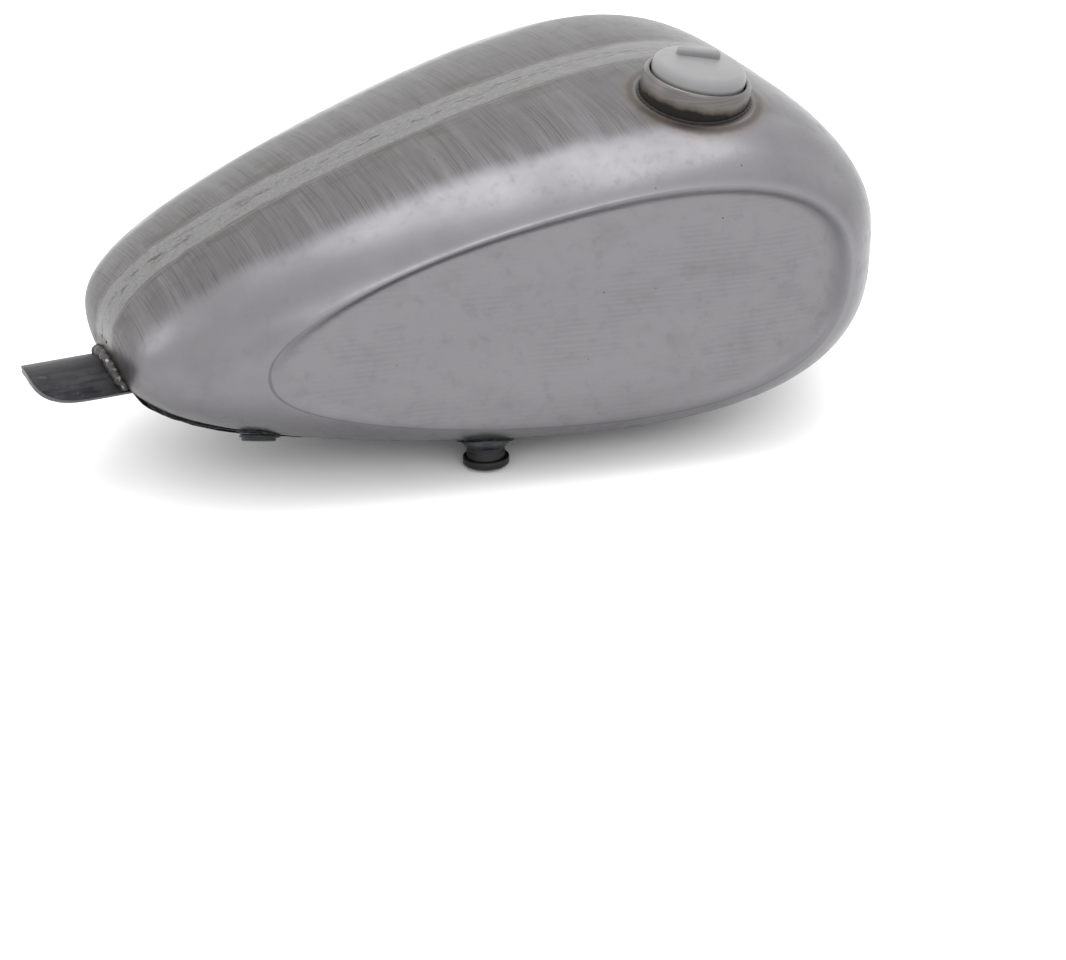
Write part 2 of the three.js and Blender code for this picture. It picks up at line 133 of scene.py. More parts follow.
@dataclass(frozen=True)
class BodyShape:
    """The pressed body: a long superellipse body with a dished panel on each side."""

    length: float = 440.0
    tip_rise: float = 25.0
    crown: Outline = Outline(0.41, 0.52, (118, 150, 194, 330))
    belly: Outline = Outline(0.31, 0.48, (94, 139, 158, 263))
    breadth: Outline = Outline(0.22, 0.23, (135.88, 153.87, 193.84, 249.79))
    crown_powers: tuple[float, float] = (2.45, 3.35)
    belly_powers: tuple[float, float] = (2.05, 3.3)
    dish_x: float = 231.0
    dish_z: float = 17.0
    dish_half_length: float = 168.5
    dish_half_height: float = 64.5
    dish_tilt: float = math.radians(4.7)
    dish_taper: float = 0.305
    dish_power: float = 2.2
    dish_middle_depth: float = 17.0
    tunnel_halves: tuple[float, float] = (36.5, 40.5)
    tunnel_roof: float = -9.2
    tunnel_arch: float = 28.0
    seam_half: float = 2.8

    def section(self, x: float) -> Section:
        """The cross-section at x."""
        part = min(max(x / self.length, 1e-6), 1 - 1e-6)
        return Section(
            self.tip_rise * part,
            self.crown.at(part),
            self.belly.at(part),
            self.breadth.at(part),
            mix(*self.crown_powers, part),
            mix(*self.belly_powers, part),
        )

    def measure(self, place: Vector) -> float:
        """Over 1 outside the plain body and under 1 inside it."""
        if place.x <= 0 or place.x >= self.length:
            return 2.0
        cut = self.section(place.x)
        rise = place.z - cut.middle
        power = cut.crown_power if rise >= 0 else cut.belly_power
        height = cut.up if rise >= 0 else cut.down
        return (abs(place.y) / cut.half) ** power + (abs(rise) / height) ** power

    def hit(self, start: Vector, direction: Vector) -> Vector:
        """Where a line that starts inside the body comes out through its skin.

        Args:
            start: A place inside the body.
            direction: A unit direction.

        Returns:
            The place on the skin.
        """
        inside, outside = 0.0, 300.0
        for _ in range(40):
            half = (inside + outside) / 2
            if self.measure(start + direction * half) < 1:
                inside = half
            else:
                outside = half
        return start + direction * inside

    def belly_height(self, x: float, y: float) -> float:
        """Height of the underside at a place seen from above."""
        return self.hit(Vector((x, y, self.section(x).middle)), Vector((0, 0, -1))).z

    def crown_height(self, x: float, y: float) -> float:
        """Height of the top at a place seen from above."""
        return self.hit(Vector((x, y, 30)), Vector((0, 0, 1))).z

    def half_width(self, x: float, z: float) -> float:
        """Half the plain body's width at a place seen from the side."""
        cut = self.section(x)
        rise = z - cut.middle
        power = cut.crown_power if rise >= 0 else cut.belly_power
        part = abs(rise) / (cut.up if rise >= 0 else cut.down)
        return cut.half * max(1 - part**power, 0.0) ** (1 / power)

    def tunnel_half(self, x: float, z: float) -> float:
        """Half the tunnel's outer width at a height, or 0 above its roof."""
        half = mix(*self.tunnel_halves, x / self.length)
        spring = self.tunnel_roof - self.tunnel_arch
        if z <= spring:
            return half
        return half * math.sqrt(max(1 - ((z - spring) / self.tunnel_arch) ** 2, 0.0))

    def dish_place(self, reach: float, angle: float) -> Vector:
        """A place on the dished panel seen from the side.

        Args:
            reach: 0 in the panel's middle and 1 on its crest.
            angle: Direction from the middle, 0 to the front and a quarter turn up.

        Returns:
            The place with y at 0.
        """
        cos, sin = math.cos(angle), math.sin(angle)
        power = self.dish_power
        spread = reach * (abs(cos) ** power + abs(sin) ** power) ** (-1 / power)
        along = self.dish_half_length * spread * cos
        across = self.dish_half_height * (1 + self.dish_taper * spread * cos) * spread * sin
        tilt = self.dish_tilt
        x = self.dish_x + along * math.cos(tilt) - across * math.sin(tilt)
        z = self.dish_z + along * math.sin(tilt) + across * math.cos(tilt)
        return Vector((x, 0, z))

    def crest_gap(self, reach: float, angle: float) -> float:
        """Distance in from the dish's crest, at a reach and angle of dish_place."""
        crest = self.dish_place(1.0, angle)
        ahead = self.dish_place(1.0, angle + 0.01) - self.dish_place(1.0, angle - 0.01)
        middle = Vector((self.dish_x, 0, self.dish_z))
        outward = Vector((ahead.z, 0, -ahead.x)).normalized()
        return (1 - reach) * abs((crest - middle).dot(outward))

    def dish_depth(self, reach: float, angle: float) -> float:
        """How deep the dished panel lies under the plain side."""
        if reach >= 1:
            return 0.0
        facing = 0.6 * math.cos(angle) + 0.8 * math.sin(angle)
        upward = smooth(facing, -0.75, 0.45)
        edge = mix(4.0, mix(1.1, 6.0, upward), smooth(reach, 0.05, 0.85))
        wide = mix(14.0, 8.0, upward)
        gap = self.crest_gap(reach, angle)
        return edge * smooth(gap, 0.0, wide) + self.dish_middle_depth * (1 - reach**2)


SHAPE = BodyShape()


# ---------------------------------------------------------------- mesh helpers


def finish_mesh(name: str, bm: bmesh.types.BMesh, body: str) -> bpy.types.Object:
    """Turn a finished bmesh in tank millimetres into a piece in the row frame.

    Args:
        name: The piece's name.
        bm: The mesh, which is freed.
        body: The CAD body it rides on.

    Returns:
        The new object.
    """
    bmesh.ops.transform(bm, matrix=TANK_TO_ROW, verts=bm.verts)
    mesh = bpy.data.meshes.new(name)
    for face in bm.faces:
        face.smooth = True
    bm.to_mesh(mesh)
    bm.free()
    piece = bpy.data.objects.new(name, mesh)
    bpy.context.scene.collection.objects.link(piece)
    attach(piece, body)
    LOG.info("%s: %d faces", name, len(mesh.polygons))
    return piece


def keep_sharp(piece: bpy.types.Object, degrees: float) -> None:
    """Shade edges sharper than an angle as sharp."""
    piece.data.set_sharp_from_angle(angle=math.radians(degrees))


def add_modifier(piece: bpy.types.Object, kind: str, **settings: object) -> None:
    """Add a modifier with the given settings."""
    modifier = piece.modifiers.new(kind.lower(), kind)
    for key, value in settings.items():
        setattr(modifier, key, value)


def bake_modifiers(piece: bpy.types.Object) -> None:
    """Replace a piece's mesh by what its modifiers make of it."""
    bpy.context.view_layer.update()
    graph = bpy.context.evaluated_depsgraph_get()
    mesh = bpy.data.meshes.new_from_object(
        piece.evaluated_get(graph), preserve_all_data_layers=True, depsgraph=graph
    )
    piece.modifiers.clear()
    piece.data = mesh
    LOG.info("%s: %d faces when its modifiers are made", piece.name, len(mesh.polygons))


def aim(place: Vector, direction: Vector) -> Matrix:
    """A matrix that moves the origin to a place and turns +Z to a direction."""
    return Matrix.Translation(place) @ Vector((0, 0, 1)).rotation_difference(direction).to_matrix().to_4x4()


def place_ring(ring: Sequence[bmesh.types.BMVert], places: Sequence[Vector]) -> None:
    """Move the vertices of a ring to places, one each."""
    for vert, place in zip(ring, places):
        vert.co = place


def skin_rings(
    bm: bmesh.types.BMesh, rings: Sequence[Sequence[Vector]], closed: bool
) -> list[list[bmesh.types.BMVert]]:
    """Extrude a first ring or line of vertices through a list of rings.

    Args:
        bm: The mesh to build in.
        rings: Places of each ring, all with the same count.
        closed: True if each ring closes on itself.

    Returns:
        The vertices of each ring.
    """
    first = [bm.verts.new(place) for place in rings[0]]
    edges = [bm.edges.new(pair) for pair in zip(first, first[1:])]
    if closed:
        edges.append(bm.edges.new((first[-1], first[0])))
    rows = [first]
    for ring in rings[1:]:
        made = bmesh.ops.extrude_edge_only(bm, edges=edges)["geom"]
        verts = {vert for vert in made if isinstance(vert, bmesh.types.BMVert)}
        row = []
        for old in rows[-1]:
            row.append(next(e.other_vert(old) for e in old.link_edges if e.other_vert(old) in verts))
        place_ring(row, ring)
        edges = [bm.edges.get(pair) for pair in zip(row, row[1:])]
        if closed:
            edges.append(bm.edges.get((row[-1], row[0])))
        rows.append(row)
    return rows


def close_ends(bm: bmesh.types.BMesh) -> None:
    """Close the open ends of a swept piece and turn its faces outwards."""
    edges = [edge for edge in bm.edges if edge.is_boundary]
    if edges:
        bmesh.ops.holes_fill(bm, edges=edges, sides=0)
    bmesh.ops.recalc_face_normals(bm, faces=bm.faces)


def sweep(
    path: Sequence[Vector], radius: Callable[[int, float], float], sides: int, closed: bool = False
) -> bmesh.types.BMesh:
    """Sweep a round section along a path.

    Args:
        path: The middle line.
        radius: Gives the radius from the path's index and the angle round it.
        sides: Points round the section.
        closed: True if the path closes on itself.

    Returns:
        The swept mesh.
    """
    bm = bmesh.new()
    rings = []
    count = len(path)
    for i, place in enumerate(path):
        before = path[(i - 1) % count] if closed else path[max(i - 1, 0)]
        after = path[(i + 1) % count] if closed else path[min(i + 1, count - 1)]
        turn = aim(place, (after - before).normalized())
        ring = []
        for j in range(sides):
            angle = math.tau * j / sides
            reach = radius(i, angle)
            ring.append(turn @ Vector((reach * math.cos(angle), reach * math.sin(angle), 0)))
        rings.append(ring)
    if closed:
        rings.append(rings[0])
    skin_rings(bm, rings, True)
    if closed:
        bmesh.ops.remove_doubles(bm, verts=bm.verts, dist=1e-4)
    close_ends(bm)
    return bm


def turned(
    profile: Sequence[tuple[float, float]], matrix: Matrix, steps: int, bevel: float = 0.0
) -> bmesh.types.BMesh:
    """Spin a closed or axis-ended profile round its own +Z axis.

    Args:
        profile: (radius, height) corners in order.
        matrix: Places the axis in the tank.
        steps: Points round the piece.
        bevel: Width of the rounding of sharp rings, or 0.

    Returns:
        The turned mesh.
    """
    bm = bmesh.new()
    verts = [bm.verts.new((radius, 0, height)) for radius, height in profile]
    on_axis = profile[0][0] == 0 and profile[-1][0] == 0
    pairs = list(zip(verts, verts[1:]))
    if not on_axis:
        pairs.append((verts[-1], verts[0]))
    edges = [bm.edges.new(pair) for pair in pairs]
    bmesh.ops.spin(
        bm, geom=verts + edges, cent=(0, 0, 0), axis=(0, 0, 1), angle=math.tau, steps=steps, use_merge=True
    )
    bmesh.ops.remove_doubles(bm, verts=bm.verts, dist=1e-4)
    bmesh.ops.recalc_face_normals(bm, faces=bm.faces)
    if bevel > 0:
        sharp = [edge for edge in bm.edges if edge.calc_face_angle(0.0) > math.radians(28)]
        bmesh.ops.bevel(
            bm,
            geom=sharp,
            offset=bevel,
            offset_type="OFFSET",
            affect="EDGES",
            segments=3,
            profile=0.5,
            material=-1,
            clamp_overlap=True,
        )
    bmesh.ops.transform(bm, matrix=matrix, verts=bm.verts)
    return bm


# ---------------------------------------------------------------- finishes


class Graph:
    """A material's node tree, with short calls for the nodes that the finishes use."""

    def __init__(self, name: str) -> None:
        """Make a new material with its Principled shader.

        Args:
            name: The material's name.
        """
        self.material = bpy.data.materials.new(name)
        self.material.use_nodes = True
        self.tree = self.material.node_tree
        self.tree.nodes.clear()
        self.shader = self.tree.nodes.new("ShaderNodeBsdfPrincipled")
        output = self.tree.nodes.new("ShaderNodeOutputMaterial")
        self.tree.links.new(self.shader.outputs["BSDF"], output.inputs["Surface"])
        coords = self.tree.nodes.new("ShaderNodeTexCoord")
        corner = (REAR_TO_MIDDLE, 0, -REAR_TO_GROUND)
        self.place = self.mapped(coords.outputs["Object"], (1000, 1000, 1000), corner)
        split = self.tree.nodes.new("ShaderNodeSeparateXYZ")
        self.tree.links.new(self.place, split.inputs[0])
        self.x, self.y, self.z = split.outputs

    def mapped(
        self,
        vector: bpy.types.NodeSocket,
        scale: tuple[float, float, float],
        location: tuple[float, float, float] = (0, 0, 0),
    ) -> bpy.types.NodeSocket:
        """Scale and move a vector."""
        node = self.tree.nodes.new("ShaderNodeMapping")
        node.inputs["Scale"].default_value = scale
        node.inputs["Location"].default_value = location
        self.tree.links.new(vector, node.inputs["Vector"])
        return node.outputs[0]

    def feed(self, socket: bpy.types.NodeSocket, value: object) -> None:
        """Link or set an input socket."""
        if isinstance(value, bpy.types.NodeSocket):
            self.tree.links.new(value, socket)
        elif isinstance(value, tuple) and len(value) == 3:
            socket.default_value = (*value, 1.0) if len(socket.default_value) == 4 else value
        else:
            socket.default_value = value

    def math(self, operation: str, *values: object) -> bpy.types.NodeSocket:
        """Join numbers by a Math node."""
        node = self.tree.nodes.new("ShaderNodeMath")
        node.operation = operation
        for socket, value in zip(node.inputs, values):
            self.feed(socket, value)
        return node.outputs[0]

    def times(self, first: object, second: object) -> bpy.types.NodeSocket:
        """Multiply two numbers."""
        return self.math("MULTIPLY", first, second)

    def plus(self, first: object, second: object) -> bpy.types.NodeSocket:
        """Add two numbers."""
        return self.math("ADD", first, second)

    def minus(self, first: object, second: object) -> bpy.types.NodeSocket:
        """Take the second number from the first."""
        return self.math("SUBTRACT", first, second)

    def step(self, value: object, low: float, high: float, top: float = 1.0) -> bpy.types.NodeSocket:
        """A smooth step from 0 at low to top at high. low may be over high."""
        node = self.tree.nodes.new("ShaderNodeMapRange")
        node.interpolation_type = "SMOOTHSTEP"
        flipped = low > high
        self.feed(node.inputs["Value"], value)
        node.inputs["From Min"].default_value = min(low, high)
        node.inputs["From Max"].default_value = max(low, high)
        node.inputs["To Min"].default_value = top if flipped else 0.0
        node.inputs["To Max"].default_value = 0.0 if flipped else top
        return node.outputs[0]

    def noise(
        self, stretch: Triple, scale: float = 1.0, detail: float = 4.0, rough: float = 0.6
    ) -> bpy.types.NodeSocket:
        """Noise whose features are the given millimetres long on each axis."""
        node = self.tree.nodes.new("ShaderNodeTexNoise")
        vector = self.mapped(self.place, tuple(1 / size for size in stretch))
        self.feed(node.inputs["Vector"], vector)
        node.inputs["Scale"].default_value = scale
        node.inputs["Detail"].default_value = detail
        node.inputs["Roughness"].default_value = rough
        return node.outputs["Fac"]

    def waves(self, pitch: float, distortion: float) -> bpy.types.NodeSocket:
        """Wavy level lines, one each pitch of height."""
        node = self.tree.nodes.new("ShaderNodeTexWave")
        node.bands_direction = "Z"
        self.feed(node.inputs["Vector"], self.mapped(self.place, (0.01, 0.01, 0.314 / pitch)))
        node.inputs["Scale"].default_value = 1.0
        node.inputs["Distortion"].default_value = distortion
        node.inputs["Detail"].default_value = 2.0
        node.inputs["Detail Scale"].default_value = 1.0
        return node.outputs["Fac"]

    def spots(self, size: float, low: float, high: float) -> bpy.types.NodeSocket:
        """Round spots: 1 near scattered points, by distance in parts of the cell size."""
        node = self.tree.nodes.new("ShaderNodeTexVoronoi")
        self.feed(node.inputs["Vector"], self.mapped(self.place, (1 / size, 1 / size, 1 / size)))
        node.inputs["Scale"].default_value = 1.0
        return self.step(node.outputs["Distance"], high, low)

    def mix(self, part: object, first: object, second: object) -> bpy.types.NodeSocket:
        """Mix two colours."""
        node = self.tree.nodes.new("ShaderNodeMix")
        node.data_type = "RGBA"
        self.feed(node.inputs[0], part)
        self.feed(node.inputs[6], first)
        self.feed(node.inputs[7], second)
        return node.outputs[2]

    def blend(self, part: object, first: object, second: object) -> bpy.types.NodeSocket:
        """Mix two numbers."""
        node = self.tree.nodes.new("ShaderNodeMix")
        node.data_type = "FLOAT"
        self.feed(node.inputs[0], part)
        self.feed(node.inputs[2], first)
        self.feed(node.inputs[3], second)
        return node.outputs[0]

    def gap_to(self, centre: tuple[float, float, float], flat: bool) -> bpy.types.NodeSocket:
        """Distance to a centre, seen from above if flat."""
        node = self.tree.nodes.new("ShaderNodeVectorMath")
        node.operation = "DISTANCE"
        squash = 0.0 if flat else 1.0
        self.feed(node.inputs[0], self.mapped(self.place, (1, 1, squash)))
        node.inputs[1].default_value = (centre[0], centre[1], centre[2] * squash)
        return node.outputs["Value"]

    def along(self, axis: tuple[float, float, float]) -> bpy.types.NodeSocket:
        """Millimetres along an axis through the tank frame's origin."""
        node = self.tree.nodes.new("ShaderNodeVectorMath")
        node.operation = "DOT_PRODUCT"
        self.feed(node.inputs[0], self.place)
        node.inputs[1].default_value = axis
        return node.outputs["Value"]

    def attribute(self, name: str) -> bpy.types.NodeSocket:
        """A number stored on the piece's own mesh."""
        node = self.tree.nodes.new("ShaderNodeAttribute")
        node.attribute_name = name
        return node.outputs["Fac"]

    def bump(self, height: object, distance: float, strength: float) -> None:
        """Give the shader a bump.

        Args:
            height: The height field, in parts of the distance.
            distance: Metres for a height of 1.
            strength: 0 to 1.
        """
        node = self.tree.nodes.new("ShaderNodeBump")
        node.inputs["Strength"].default_value = strength
        node.inputs["Distance"].default_value = distance
        self.feed(node.inputs["Height"], height)
        self.tree.links.new(node.outputs[0], self.shader.inputs["Normal"])

    def finish(
        self, colour: object, roughness: object, metallic: object, specular: float = 0.5
    ) -> bpy.types.Material:
        """Set the shader and return the material."""
        self.feed(self.shader.inputs["Base Color"], colour)
        self.feed(self.shader.inputs["Roughness"], roughness)
        self.feed(self.shader.inputs["Metallic"], metallic)
        self.shader.inputs["Specular IOR Level"].default_value = specular
        return self.material


@dataclass(frozen=True)
class PressedSteel:
    """Bare pressed sheet: linished along the seam, scratched across the shoulders, dull in the dish, with a
    painted highlight and painted shade along the dish's crest.
    """

    sheet: Colour = (0.164, 0.16, 0.168)
    linished: Colour = (0.173, 0.17, 0.171)
    scratched: Colour = (0.105, 0.101, 0.102)
    dish: Colour = (0.179, 0.175, 0.182)
    press_line: Colour = (0.075, 0.0735, 0.0772)
    mottled: Colour = (0.105, 0.103, 0.107)
    # Painted highlight for the dish's crest.
    crest: Colour = (0.225, 0.221, 0.229)
    # Painted shade just inside the dish's crest.
    crest_shadow: Colour = (0.0675, 0.066, 0.0698)
    # Painted shade: a thin dark line along the dish's crest.
    crest_shade_line: Colour = (0.0525, 0.051, 0.054)
    deep_scratch: Colour = (0.04, 0.038, 0.038)
    bright_scratch: Colour = (0.195, 0.192, 0.197)
    stain: Colour = (0.0638, 0.057, 0.0525)
    band_edge: Colour = (0.0562, 0.0495, 0.045)
    smear: Colour = (0.0825, 0.075, 0.072)
    seam_dash: Colour = (0.06, 0.055, 0.05)
    belly_line: Colour = (0.09, 0.0878, 0.0915)
    pit: Colour = (0.03, 0.03, 0.03)
    neck_ring: Colour = (0.0375, 0.0345, 0.0345)
    soot: Colour = (0.016, 0.013, 0.012)
    brown: Colour = (0.13, 0.098, 0.072)
    band_half: float = 14.5

    def build(self, name: str) -> bpy.types.Material:
        """Make the material.

        Args:
            name: The material's name.

        Returns:
            The material.
        """
        g = Graph(name)
        side = g.math("ABSOLUTE", g.y)
        reach = g.attribute("dish_reach")
        fin_gap = g.attribute("fin_gap")
        cloud = g.noise((60, 60, 60), detail=5)
        mottle = g.noise((9, 9, 9), detail=5, rough=0.7)
        edge = g.plus(side, g.times(g.noise((30, 8, 8), detail=3), 5.0))
        on_top = g.step(g.z, -30, -5)
        band = g.times(g.step(edge, self.band_half + 3.6, self.band_half + 1.6), on_top)
        comb = g.times(g.noise((2.2, 60, 60), detail=3), 6.0)
        sway = g.times(g.noise((80, 90, 90), detail=2), 26.0)
        shoulder_edge = g.plus(side, g.plus(comb, sway))
        shoulder_limit = g.math("MULTIPLY_ADD", g.x, 0.12, 66.0)
        past = g.minus(shoulder_edge, shoulder_limit)
        shoulder = g.times(g.step(past, 7, -7), on_top)
        shoulder = g.times(shoulder, g.minus(1.0, band))
        shoulder = g.times(shoulder, g.step(g.x, 435, 330))
        inside = g.step(reach, 1.0, 0.93)
        belly = g.times(g.step(g.z, -30, -52), g.step(fin_gap, 60, 26))

        along = g.noise((60, 0.8, 0.8), detail=3, rough=0.7)
        across = g.noise((0.5, 90, 60), detail=3, rough=0.75)
        hairs = g.noise((0.5, 44, 30), detail=1)
        across_wide = g.noise((9, 120, 80), detail=3)
        ripple = g.waves(3.1, 5.0)
        fine = g.noise((1.1, 1.1, 1.1), detail=3)

        colour = g.mix(g.step(cloud, 0.35, 0.68), self.sheet, tuple(0.86 * c for c in self.sheet))
        colour = g.mix(inside, colour, self.dish)
        patch = g.times(inside, g.step(g.noise((34, 34, 22), detail=4), 0.52, 0.72, 0.3))
        colour = g.mix(patch, colour, tuple(0.74 * c for c in self.dish))
        lines = g.times(g.step(g.noise((46, 46, 30), detail=3), 0.46, 0.62), inside)
        lines = g.times(lines, g.times(ripple, 0.13))
        colour = g.mix(lines, colour, self.press_line)
        colour = g.mix(g.step(mottle, 0.5, 0.8, 0.3), colour, self.mottled)
        # Painted highlight along the dish's crest, stronger where the crest faces up and forward.
        facing = g.attribute("crest_face")
        crest = g.times(g.step(reach, 0.985, 1.0), g.step(reach, 1.05, 1.0))
        colour = g.mix(g.times(crest, g.blend(facing, 0.05, 0.4)), colour, self.crest)
        # Painted shade in a band just inside the crest: strongest where the crest faces up and forward, none
        # where it faces back and down.
        crest_shadow = g.times(g.step(reach, 0.92, 0.965), g.step(reach, 0.995, 0.97))
        colour = g.mix(g.times(crest_shadow, g.blend(facing, 0.0, 0.3)), colour, self.crest_shadow)
        # Painted shade: a thin dark line along the crest, strongest where the crest faces back and down.
        line = g.times(g.step(reach, 0.987, 0.994), g.step(reach, 1.003, 0.997))
        colour = g.mix(g.times(line, g.blend(facing, 0.5, 0.1)), colour, self.crest_shade_line)
        scratches = g.mix(g.step(across, 0.36, 0.64), tuple(0.8 * c for c in self.scratched), self.scratched)
        scratches = g.mix(g.step(across_wide, 0.45, 0.7, 0.3), scratches, self.sheet)
        scratches = g.mix(g.step(hairs, 0.58, 0.7, 0.65), scratches, self.deep_scratch)
        scratches = g.mix(g.step(hairs, 0.36, 0.24, 0.35), scratches, self.bright_scratch)
        stain_patch = g.step(g.noise((50, 12, 12), detail=4), 0.44, 0.64, 0.6)
        stain = g.times(g.step(side, 44, 14), stain_patch)
        scratches = g.mix(stain, scratches, self.stain)
        colour = g.mix(g.times(shoulder, 0.92), colour, scratches)
        streaks = g.mix(g.step(along, 0.4, 0.6), tuple(0.72 * c for c in self.linished), self.linished)
        band_edge = g.times(g.step(edge, self.band_half - 0.5, self.band_half + 2.2), band)
        streaks = g.mix(g.times(band_edge, 0.75), streaks, self.band_edge)
        smear = g.times(g.step(g.noise((32, 3.2, 8), detail=4), 0.54, 0.68), 0.5)
        streaks = g.mix(smear, streaks, self.smear)
        colour = g.mix(band, colour, streaks)
        pin_path = g.plus(g.y, g.math("MULTIPLY_ADD", g.noise((90, 90, 90), detail=2), 9.0, -4.5))
        near_seam = g.step(g.math("ABSOLUTE", pin_path), 4.6, 1.6)
        dashes = g.times(near_seam, g.step(g.noise((13, 2.0, 5), detail=3), 0.54, 0.6))
        dashes = g.times(dashes, on_top)
        colour = g.mix(g.times(dashes, 0.85), colour, self.seam_dash)
        dark_lines = g.times(belly, g.step(across, 0.56, 0.44, 0.7))
        colour = g.mix(dark_lines, colour, self.belly_line)
        pits = g.math("MAXIMUM", g.spots(21, 0.012, 0.034), g.times(inside, g.spots(13, 0.01, 0.03)))
        colour = g.mix(g.times(pits, 0.8), colour, self.pit)

        heat_wave = g.times(g.minus(g.noise((12, 12, 12), detail=4), 0.5), 7.0)
        neck = g.gap_to((*NECK_PLACE, 0.0), True)
        halo = g.plus(neck, g.times(heat_wave, 0.45))
        colour = g.mix(g.step(halo, 44, 37, 0.5), colour, self.brown)
        ring = g.times(g.step(halo, 40.5, 36.8), g.step(halo, 33.8, 35.8))
        colour = g.mix(g.times(ring, 0.6), colour, self.neck_ring)
        # Black, unshiny ring just outside the neck's weld: painted shade of the deep groove there, together
        # with weld soot.
        groove_shade_and_soot = g.step(neck, 34.2, 33.0, 0.97)
        colour = g.mix(groove_shade_and_soot, colour, self.soot)
        petcock = g.plus(g.gap_to((*OUTLET_PLACE, OUTLET_FACE + 3.0), False), heat_wave)
        colour = self._heat(g, colour, petcock, 17.0, 1.5, 7.0)
        for side_sign in (-1, 1):
            centre = (CROSSOVER_PLACE[0], CROSSOVER_PLACE[1] * side_sign, -45.0)
            gap = g.plus(g.gap_to(centre, False), heat_wave)
            colour = self._heat(g, colour, gap, 11.0, 2.5, 8.0)
        fin_heat = g.plus(fin_gap, g.times(heat_wave, 0.45))
        colour = self._heat(g, colour, fin_heat, 0.0, 4.2, 9.0)
        end_gap = g.attribute("end_gap")
        end_heat = g.plus(end_gap, g.times(heat_wave, 0.8))
        colour = self._heat(g, colour, end_heat, 0.0, 9.0, 8.0)

        rough = g.blend(g.step(cloud, 0.3, 0.7), 0.27, 0.35)
        rough = g.blend(inside, rough, 0.46)
        rough = g.blend(band, rough, 0.37)
        rough = g.blend(shoulder, rough, 0.44)
        rough = g.blend(g.step(mottle, 0.45, 0.75, 0.35), rough, 0.6)

        height = g.times(g.times(across, shoulder), 0.55)
        height = g.plus(height, g.times(g.times(along, band), 0.5))
        height = g.plus(height, g.times(g.times(ripple, inside), 0.22))
        height = g.plus(height, g.times(g.times(across, belly), 0.4))
        height = g.plus(height, g.times(fine, 0.1))
        height = g.minus(height, g.times(dashes, 1.2))
        g.bump(height, 0.00016, 0.7)
        return g.finish(colour, rough, g.minus(1.0, groove_shade_and_soot))

    def _heat(
        self, g: Graph, colour: object, gap: object, start: float, black: float, tint: float
    ) -> bpy.types.NodeSocket:
        """Lay soot and a brown tint round a weld.

        Args:
            g: The graph.
            colour: The colour so far.
            gap: Distance from the weld's middle.
            start: The gap where the weld begins.
            black: Width of the black ring.
            tint: Width of the brown tint.

        Returns:
            The new colour.
        """
        brown = g.step(gap, start + black + tint, start + black * 0.8, 0.6)
        colour = g.mix(brown, colour, self.brown)
        return g.mix(g.step(gap, start + black * 1.5, start + black * 0.7, 0.95), colour, self.soot)


@dataclass(frozen=True)
class ScaledSteel:
    """Dark blue-black mill scale, streaked along the tank, with scattered light specks."""

    dark: Colour = (0.00806, 0.00806, 0.00961)
    light: Colour = (0.0322, 0.0322, 0.0353)
    roughness: float = 0.4
    # True for a darker lower edge: painted shade of the recess beside the fins, with weld soot.
    shaded_sooty_edge: bool = False

    def build(self, name: str) -> bpy.types.Material:
        """Make the material, named as given."""
        g = Graph(name)
        streak = g.noise((70, 3.5, 3.5), detail=5, rough=0.7)
        cloud = g.noise((22, 14, 14), detail=5)
        grain = g.noise((1.4, 0.8, 0.8), detail=3)
        tone = g.plus(g.times(streak, 0.35), g.times(cloud, 0.65))
        colour = g.mix(g.step(tone, 0.36, 0.62), self.dark, self.light)
        colour = g.mix(g.step(cloud, 0.45, 0.75, 0.5), colour, (0.0375, 0.036, 0.0375))
        colour = g.mix(g.step(g.noise((5, 5, 5), detail=5), 0.62, 0.7, 0.25), colour, (0.105, 0.105, 0.11))
        rough = g.blend(g.step(cloud, 0.3, 0.7), self.roughness, self.roughness + 0.16)
        if self.shaded_sooty_edge:
            # Towards the channel's lower edge: a brown heat tint, then black that is painted shade of the
            # recess beside the fins together with weld soot.
            lift = g.plus(g.attribute("edge_gap"), g.math("MULTIPLY_ADD", cloud, 9.0, -4.5))
            colour = g.mix(g.step(lift, 22, 7, 0.7), colour, (0.04, 0.028, 0.02))
            colour = g.mix(g.step(lift, 9, 5), colour, (0.006, 0.0055, 0.005))
        g.bump(g.plus(grain, g.times(cloud, 1.4)), 0.00022, 0.5)
        return g.finish(colour, rough, 0.85, 0.3)


@dataclass(frozen=True)
class CutEdgeSteel:
    """Rough light grey sawn edge."""

    colour: Colour = (0.077, 0.0756, 0.0784)

    def build(self, name: str) -> bpy.types.Material:
        """Make the material, named as given."""
        g = Graph(name)
        chip = g.noise((2.4, 2.4, 1.2), detail=4, rough=0.7)
        colour = g.mix(g.step(chip, 0.42, 0.66, 0.8), self.colour, (0.06, 0.058, 0.06))
        g.bump(chip, 0.0005, 0.7)
        return g.finish(colour, 0.42, 0.95)


@dataclass(frozen=True)
class WeldMetal:
    """A weld bead: burnt black to silver with a brown tint."""

    base: Colour = (0.022, 0.02, 0.019)
    bright: Colour = (0.2, 0.195, 0.19)
    brown: Colour = (0.07, 0.047, 0.03)
    shine: float = 0.3
    metallic: float = 0.8

    def build(self, name: str) -> bpy.types.Material:
        """Make the material, named as given."""
        g = Graph(name)
        lump = g.noise((3.2, 3.2, 3.2), detail=4, rough=0.65)
        patch = g.noise((11, 11, 11), detail=3)
        colour = g.mix(g.step(lump, 0.52, 0.72, self.shine * 2), self.base, self.bright)
        colour = g.mix(g.step(patch, 0.5, 0.68, 0.6), colour, self.brown)
        rough = g.blend(lump, 0.34, 0.62)
        g.bump(lump, 0.0007, 0.6)
        return g.finish(colour, rough, self.metallic, 0.25)


